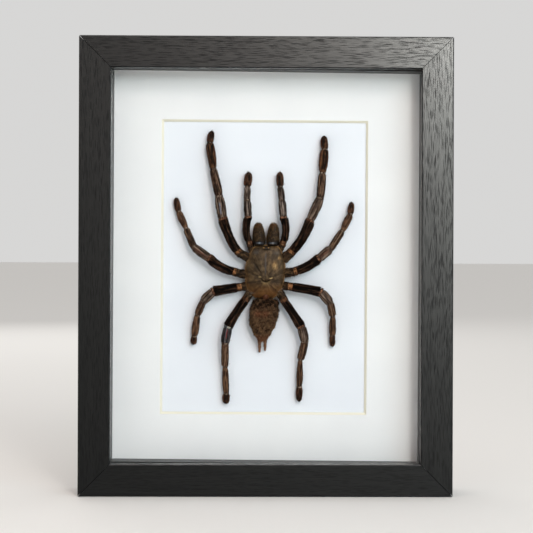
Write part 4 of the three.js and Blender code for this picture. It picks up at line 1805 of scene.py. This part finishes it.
    def build_eyes(self, body: Body) -> list[Body]:
        """Models the eyes on their mound: two round ones in front and smaller ones beside them.

        Args:
            body: The carved body that they sit on.

        Returns:
            The eyes.
        """
        middle_x, middle_y = self.eye_place
        skin = places(body.data)
        skin = skin[skin[:, 2] > self.shoulder]
        made = []
        for number, (out, ahead, size) in enumerate(self.eyes):
            for side in (-1.0, 1.0):
                rings = [
                    Ring(0.0, size * 1.5, size * 1.4), Ring(0.25, size * 1.6, size * 1.5),
                    Ring(0.5, size * 1.2, size * 1.1), Ring(0.62, size * 0.5, size * 0.45),
                ]
                finish = TAN_EYE if number == self.tan_eye else DARK_EYE
                eye = draw_out(f"eye {number} {side}", rings, 10, finish)
                store(eye.data, "grain", places(eye.data))
                seat = np.array((middle_x + side * out, middle_y + ahead))
                nearest = skin[np.argmin(np.linalg.norm(skin[:, :2] - seat, axis=1))]
                foot = Vector((*seat, nearest[2] - 0.25))
                eye.data.transform(Matrix.Translation(foot) @ Matrix.Rotation(side * 0.35, 4, "Y"))
                store(eye.data, "flow", np.tile((0.0, 1.0, 0.0), (len(eye.data.vertices), 1)))
                refine(eye, 1)
                made.append(eye)
        return made

    def build_stalk(self) -> Body:
        """Models the stalk between the two halves of the body.

        Returns:
            The stalk.
        """
        stalk = Lobe("stalk", self.stalk, low=5.0, high=10.2, finish=PEDICEL, sides=14).build()
        refine(stalk, 2)
        return stalk

    def build(self) -> Body:
        """Models the whole front half of the body.

        Returns:
            The piece, settled in the frame.
        """
        body = self.build_body()
        DOWN.grow(body, self.down)
        FRINGE.grow(body, self.fringe)
        REAR_BRISTLES.grow(body, self.rear_corners)
        whole = join("prosoma_body", [body, *self.build_eyes(body), self.build_stalk()])
        settle(whole, ["prosoma"])
        return whole

    def down(self, place: np.ndarray) -> np.ndarray:
        """Short hair lies on the rear and the flanks, and hardly any on the bare head.

        Args:
            place: The places, one row each.

        Returns:
            How thick it stands.
        """
        across, ahead, height = place.T
        flank = 0.5 * smoothstep(np.abs(across), 8.0, 11.5)
        return (0.08 + smoothstep(ahead, 2.0, -7.0) + flank) * smoothstep(height, 4.0, 5.0)

    def fringe(self, place: np.ndarray) -> np.ndarray:
        """How thick the hair stands along the carapace's edge."""
        return between(place[:, 2], 4.6, 5.4, 6.4, 7.2)

    def rear_corners(self, place: np.ndarray) -> np.ndarray:
        """How thick the long bristles stand at the two rear corners."""
        off = (np.abs(place[:, 0]) - 7.6) ** 2 + (place[:, 1] + 7.6) ** 2
        return np.exp(-off / 2.0) * smoothstep(place[:, 2], 4.0, 5.0)


@dataclass(frozen=True)
class Chelicera:
    """One of the two stout jaws in front of the carapace."""

    side: str
    sign: float
    middle: float = 4.4
    low: float = 2.6
    high: float = 9.8
    shape: tuple[tuple[float, float, float], ...] = (
        (21.4, 6.9, -0.1), (22.6, 8.1, -0.15), (24.8, 8.45, -0.2), (27.4, 8.1, -0.1), (30.0, 7.3, 0.2),
        (32.6, 6.3, 0.3), (34.4, 4.7, 0.3), (35.6, 2.7, 0.25),
    )

    def build(self) -> Body:
        """Models the jaw, its band at the root with a painted blue-grey highlight, and its hair.

        Returns:
            The jaw, settled in the frame.
        """
        rows = tuple(
            (at, self.sign * (self.middle + out) - width / 2, self.sign * (self.middle + out) + width / 2)
            for at, width, out in self.shape
        )
        jaw = Lobe(f"{self.side}_jaw", rows, self.low, self.high, CHELICERA, 18).build()
        refine(jaw, 2, lumps=0.2, lump_size=1.8)
        self.mark_colours(jaw)
        JAW_COAT.grow(jaw, lambda place: smoothstep(place[:, 1], 23.6, 24.4))
        settle(jaw, [f"chelicera_{self.side}"])
        return jaw

    def mark_colours(self, jaw: Body) -> None:
        """Marks the dark band at the root with painted blue-grey and pale highlights on it, painted shade on
        the inner side and at the root, the darker outer edge, and the warm tip.

        Args:
            jaw: The jaw, on the card.
        """
        across, ahead, _ = places(jaw.data).T
        # painted shade where the two jaws meet (inner) and where the jaw runs under the carapace (root)
        inner = smoothstep(np.abs(across), 1.5, 0.5)
        outer = smoothstep(np.abs(across), 7.0, 8.2)
        band = between(ahead, 21.9, 22.3, 23.3, 23.8)
        tip = smoothstep(ahead, 31.0, 34.0)
        seam = between(ahead, 23.4, 23.7, 23.9, 24.7)
        root = smoothstep(ahead, 22.4, 21.9)
        dark = np.clip(0.8 * inner + 0.6 * outer + 0.6 * seam + 0.8 * root, 0.0, 1.0)
        # painted highlights on the glossy band: blue-grey glints, and a pale spark in their middle
        glint = np.exp(-(((np.abs(across) - 4.0) / 2.3) ** 4)) * (0.7 + 0.3 * np.sin(across * 3.1))
        streak = between(ahead, 22.5, 22.9, 23.2, 23.8)
        spark = bell(np.abs(across), 4.1, 0.7) * streak
        dark = np.maximum(dark, 0.9 * band * (1.0 - glint))
        cool = 0.85 * streak * glint
        store(jaw.data, "cool", np.column_stack((cool, cool, cool)))
        store(jaw.data, "marks", np.column_stack((0.35 * tip, dark, 0.3 * spark)))


@dataclass(frozen=True)
class Abdomen:
    """The furry rear half of the body, shrunken and lumpy."""

    outline: Outline = (
        (-10.9, -4.2, 4.4), (-12.4, -7.4, 7.0), (-15.0, -9.0, 8.1), (-19.9, -10.1, 8.4), (-25.0, -9.9, 6.8),
        (-30.0, -8.8, 5.0), (-33.6, -6.5, 2.8), (-36.0, -5.0, 1.2), (-37.4, -3.9, 0.2),
    )
    low: float = 1.2
    high: float = 11.0

    def build(self) -> Body:
        """Models the lobe and its fur.

        Returns:
            The piece, settled in the frame.
        """
        sac = Lobe("abdomen_sac", self.outline, self.low, self.high, ABDOMEN, 28).build()
        refine(sac, 3, lumps=2.0, lump_size=2.6)
        refine(sac, 0, lumps=1.3, lump_size=1.0)
        self.mark_colours(sac)
        BROWN_COAT.grow(sac)
        BLACK_COAT.grow(sac, self.tufts)
        RED_COAT.grow(sac, self.reddish)
        settle(sac, ["abdomen"])
        return sac

    def tufts(self, place: np.ndarray) -> np.ndarray:
        """Black hair stands in tufts near the front, thinner towards the sides.

        Args:
            place: The places, one row each.

        Returns:
            How thick it stands.
        """
        across, ahead, height = place.T
        patches = np.sin(across * 1.7 + 0.6) * np.sin(ahead * 1.5 + 0.5 * across) > 0.05
        front = smoothstep(ahead, -19.0, -14.0) + 0.5 * smoothstep(np.abs(across + 1.4), 6.8, 8.6)
        return front * (0.08 + patches) * smoothstep(height, 3.0, 6.0)

    def reddish(self, place: np.ndarray) -> np.ndarray:
        """Reddish hair lies in two patches in the middle and near the spinnerets.

        Args:
            place: The places, one row each.

        Returns:
            How thick it stands.
        """
        across, ahead, height = place.T
        patch = sum(spot(across, ahead, (middle, -20.5), (1.9, 1.7)) for middle in (-4.6, 0.2))
        rear = 0.6 * smoothstep(ahead, -32.5, -35.5)
        return (patch + rear + 0.02) * smoothstep(height, 3.0, 6.0)

    def mark_colours(self, sac: Body) -> None:
        """Marks the reddish and the dark parts of the skin, which the fur follows.

        Args:
            sac: The lobe, on the card.
        """
        points = places(sac.data)
        warm = np.clip(0.7 * self.reddish(points), 0.0, 1.0)
        dark = np.clip(0.85 * self.tufts(points), 0.0, 1.0)
        store(sac.data, "marks", np.column_stack((warm, dark, np.zeros(len(points)))))


@dataclass(frozen=True)
class Spinneret:
    """One of the two jointed spinnerets at the tail."""

    side: str
    tip: tuple[float, float]
    root: float = -36.2
    widths: tuple[float, ...] = (2.5, 2.1, 1.6)
    ends: tuple[float, ...] = (0.0, 0.4, 0.72, 1.0)
    heights: tuple[float, float] = (5.0, 3.0)

    def build(self) -> Body:
        """Models the three short joints and their hair.

        Returns:
            The spinneret, settled in the frame.
        """
        tip = Vector((*self.tip, self.heights[1]))
        root = Vector((self.tip[0] - 0.1, self.root, self.heights[0]))
        bodies = []
        for index, width in enumerate(self.widths):
            start, end = root.lerp(tip, self.ends[index]), root.lerp(tip, self.ends[index + 1])
            length = (end - start).length + 0.15
            taper = 0.35 if index == len(self.widths) - 1 else 0.8
            rings = [
                Ring(0.0, width * 0.7, width * 0.65), Ring(0.25, width, width * 0.9),
                Ring(length * 0.7, width * 0.96, width * 0.86), Ring(length, width * taper, width * taper),
            ]
            body = draw_out(f"spinneret {index}", rings, 12, SPINNERET)
            points = places(body.data)
            store(body.data, "grain", points + 10.0 * index)
            share = (index + points[:, 2] / length) / len(self.widths)
            dark = 0.45 * smoothstep(points[:, 2], 0.5, 0.0)
            store(body.data, "marks", np.column_stack((share * 0.6, dark, 0.3 * share)))
            lay(body, start, end)
            bodies.append(body)
        whole = join(f"{self.side}_spinneret", bodies)
        refine(whole, 2, lumps=0.1, lump_size=0.8)
        TAIL_COAT.grow(whole)
        settle(whole, [f"spinneret_{self.side}"])
        return whole


@dataclass(frozen=True)
class GlueDab:
    """The dried drop that holds the spider to its card."""

    ahead: float = 4.0
    radius: float = 5.0
    low: float = 0.3
    high: float = 1.7

    def build(self) -> Body:
        """Models the flattened drop.

        Returns:
            The drop, settled in the frame.
        """
        across = 2 * self.radius
        thick = self.high - self.low
        rings = [
            Ring(self.low, across * 0.9, across * 0.86),
            Ring(self.low + 0.15 * thick, across, across * 0.95),
            Ring(self.low + 0.6 * thick, across * 0.9, across * 0.84),
            Ring(self.high - 0.05, across * 0.62, across * 0.55),
            Ring(self.high, across * 0.3, across * 0.26),
        ]
        drop = draw_out("glue_drop", rings, 20, GLUE)
        drop.data.transform(Matrix.Translation((0.0, self.ahead, 0.0)))
        refine(drop, 1, lumps=0.12, lump_size=2.5)
        settle(drop, ["glue_dab"])
        return drop


@dataclass(frozen=True)
class Spider:
    """The whole dried spider."""

    def build(self) -> None:
        """Builds the body, the jaws, the limbs and the spinnerets."""
        GlueDab().build()
        Prosoma().build()
        for side, sign in (("left", -1.0), ("right", 1.0)):
            Chelicera(side, sign).build()
        Abdomen().build()
        Spinneret("left", (-3.5, -44.8)).build()
        Spinneret("right", (-0.1, -43.6)).build()
        for limb in LIMBS:
            limb.build()


# ---------------------------------------------------------------- the frame


@dataclass(frozen=True)
class BoxFrame:
    """The mitred moulding, its glass, strips, boards and fixings, which keep their own shapes."""

    level: Finish = BlackWood("Black wood, level grain", Run.LEVEL)
    upright: Finish = BlackWood("Black wood, upright grain", Run.UPRIGHT)
    glass: Finish = ClearGlass("Clear glass")
    strip: Finish = Board(
        "Black strip", face=shade(40, 41, 41), shadow=shade(30, 31, 31), core=shade(36, 37, 37),
        size=1200.0, roughness=0.5,
    )
    mount: Finish = Board(
        "Window mount board", face=shade(243, 246, 248), shadow=shade(237, 240, 243),
        core=shade(236, 233, 217),
    )
    card: Finish = Board(
        "Backing card", face=shade(237, 243, 251), shadow=shade(231, 237, 246), core=shade(236, 236, 232),
        tooth=0.04,
    )
    panel: Finish = Board(
        "Hardboard", face=shade(140, 103, 67), shadow=shade(129, 94, 60), core=shade(96, 66, 40),
        size=700.0, roughness=0.75, tooth=0.08,
    )
    steel: Finish = ZincedSteel("Zinced steel")

    def finish_of(self, node: str) -> Finish | None:
        """The finish of a plain solid, by its name.

        Args:
            node: The solid's name.

        Returns:
            Its finish, or None for a part of the spider.
        """
        by_start = {
            "rail": self.level, "stile": self.upright, "glass": self.glass, "spacer": self.strip,
            "window_mount": self.mount, "backing_card": self.card, "back_panel": self.panel,
            "tab": self.steel, "hanger": self.steel,
        }
        return next((finish for start, finish in by_start.items() if node.startswith(start)), None)

    def build(self) -> None:
        """Dresses the solids of the frame."""
        for name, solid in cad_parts.items():
            finish = self.finish_of(name)
            if finish is not None:
                solid.data.materials.clear()
                solid.data.materials.append(material_of(finish))
                LOG.info("%s: %s", name, finish.name)


# ---------------------------------------------------------------- studio


@dataclass(frozen=True)
class Lamp:
    """One soft lamp, aimed at the middle of the frame."""

    name: str
    place: tuple[float, float, float]
    size: tuple[float, float]
    power: float
    tint: tuple[float, float, float]

    def build(self) -> None:
        """Hangs the lamp."""
        lamp = bpy.data.lights.new(self.name, "AREA")
        lamp.shape = "RECTANGLE"
        lamp.size, lamp.size_y = self.size
        lamp.energy = self.power
        lamp.color = self.tint
        obj = bpy.data.objects.new(self.name, lamp)
        obj.location = self.place
        aim = (CAD_BOX[0] + CAD_BOX[1]) / 2 - Vector(self.place)
        obj.rotation_euler = aim.to_track_quat("-Z", "Y").to_euler()
        bpy.context.scene.collection.objects.link(obj)


@dataclass(frozen=True)
class Studio:
    """Floor, light and camera."""

    floor_size: float = 40.0
    floor_gap: float = 0.0003
    floor_shade: Colour = shade(236, 235, 232)
    floor_roughness: float = 0.8
    sensor: float = 36.0
    distance: float = 0.85
    eye_height: float = 0.148
    eye_side: float = 0.0002
    view_width: float = 0.3238
    turn: float = math.radians(-0.75)
    lift: float = -0.025
    roll: float = math.radians(-0.2)
    low_sky: float = 0.1
    high_sky: float = 0.76
    front_share: float = 0.03
    backdrop: float = 0.68
    low_tint: Colour = (0.84, 0.93, 1.02, 1.0)
    high_tint: Colour = (0.97, 0.99, 1.0, 1.0)
    left_tint: Colour = (1.06, 0.9, 0.8, 1.0)
    left_share: float = 0.6
    backdrop_tint: Colour = (1.0, 0.995, 0.985, 1.0)
    lamps: tuple[Lamp, ...] = (
        Lamp("Window", (0.98, -1.5, 0.82), (1.3, 0.9), 9.8, (0.74, 0.97, 1.07)),
        Lamp("Ceiling", (0.36, -1.5, 1.08), (0.7, 0.8), 8.9, (1.0, 0.77, 0.69)),
        Lamp("Corner glow", (0.41, -1.5, 0.58), (0.18, 0.24), 3.4, (1.0, 1.0, 0.93)),
        Lamp("Side glow", (0.47, -1.5, 0.36), (0.16, 0.5), 1.6, (0.98, 1.0, 0.93)),
        Lamp("Back fill", (-0.6, 1.6, 1.0), (1.4, 1.2), 6.0, (1.0, 0.99, 0.97)),
    )

    def build(self) -> None:
        """Sets the floor, the lights, the sky and the camera."""
        self.build_floor()
        for lamp in self.lamps:
            lamp.build()
        self.build_sky()
        self.build_camera()
        bpy.context.scene.view_settings.view_transform = "Standard"

    def build_floor(self) -> None:
        """Lays a wide pale floor."""
        deselect_all()
        bpy.ops.mesh.primitive_plane_add(size=self.floor_size, location=(0.0, 0.0, -self.floor_gap))
        floor = bpy.context.active_object
        floor.name = "floor"
        look = {"Base Color": self.floor_shade, "Roughness": self.floor_roughness}
        floor.data.materials.append(Surface("Pale floor").dressed(look))
        floor.visible_glossy = False
        floor.visible_transmission = False

    def build_sky(self) -> None:
        """Lights the room from all round, warmer on the left, with a pale backdrop for the camera."""
        world = bpy.data.worlds.new("Studio")
        world.use_nodes = True
        bpy.context.scene.world = world
        wiring = Wiring(world.node_tree)
        across, ahead, up = wiring.parts(wiring.node("ShaderNodeTexCoord").outputs["Generated"])
        around = wiring.span(ahead, -0.96, -0.8, self.front_share, 1.0)
        room = wiring.times(around, wiring.span(up, -0.3, 0.8, self.low_sky, self.high_sky))
        direct = wiring.node("ShaderNodeLightPath").outputs["Is Camera Ray"]
        hidden = wiring.times(wiring.maths("SUBTRACT", 1.0, direct), room)
        tint = wiring.layered(
            self.low_tint,
            (wiring.span(up, -0.2, 0.5), self.high_tint),
            (wiring.span(across, 0.3, -0.6, 0.0, self.left_share), self.left_tint),
            (direct, self.backdrop_tint),
        )
        background = world.node_tree.nodes["Background"]
        wiring.feed(background.inputs["Color"], tint)
        wiring.feed(background.inputs["Strength"], wiring.plus(wiring.times(direct, self.backdrop), hidden))

    def build_camera(self) -> None:
        """Stands the camera in front of the frame, level and nearly square to it."""
        lens = bpy.data.cameras.new("Camera")
        lens.sensor_width = self.sensor
        lens.lens = lens.sensor_width * self.distance / self.view_width
        lens.shift_x = math.tan(self.turn) * self.distance / self.view_width
        lens.shift_y = self.lift
        camera = bpy.data.objects.new("Camera", lens)
        front = CAD_BOX[0].y
        camera.location = (self.eye_side, front - self.distance, self.eye_height)
        camera.rotation_euler = (math.pi / 2, self.roll, self.turn)
        bpy.context.scene.collection.objects.link(camera)
        bpy.context.scene.camera = camera


def main() -> None:
    """Builds everything in order and notes the model's size."""
    logging.basicConfig(level=logging.INFO, format="%(message)s")
    Studio().build()
    BoxFrame().build()
    Spider().build()


if __name__ == "__main__":
    main()
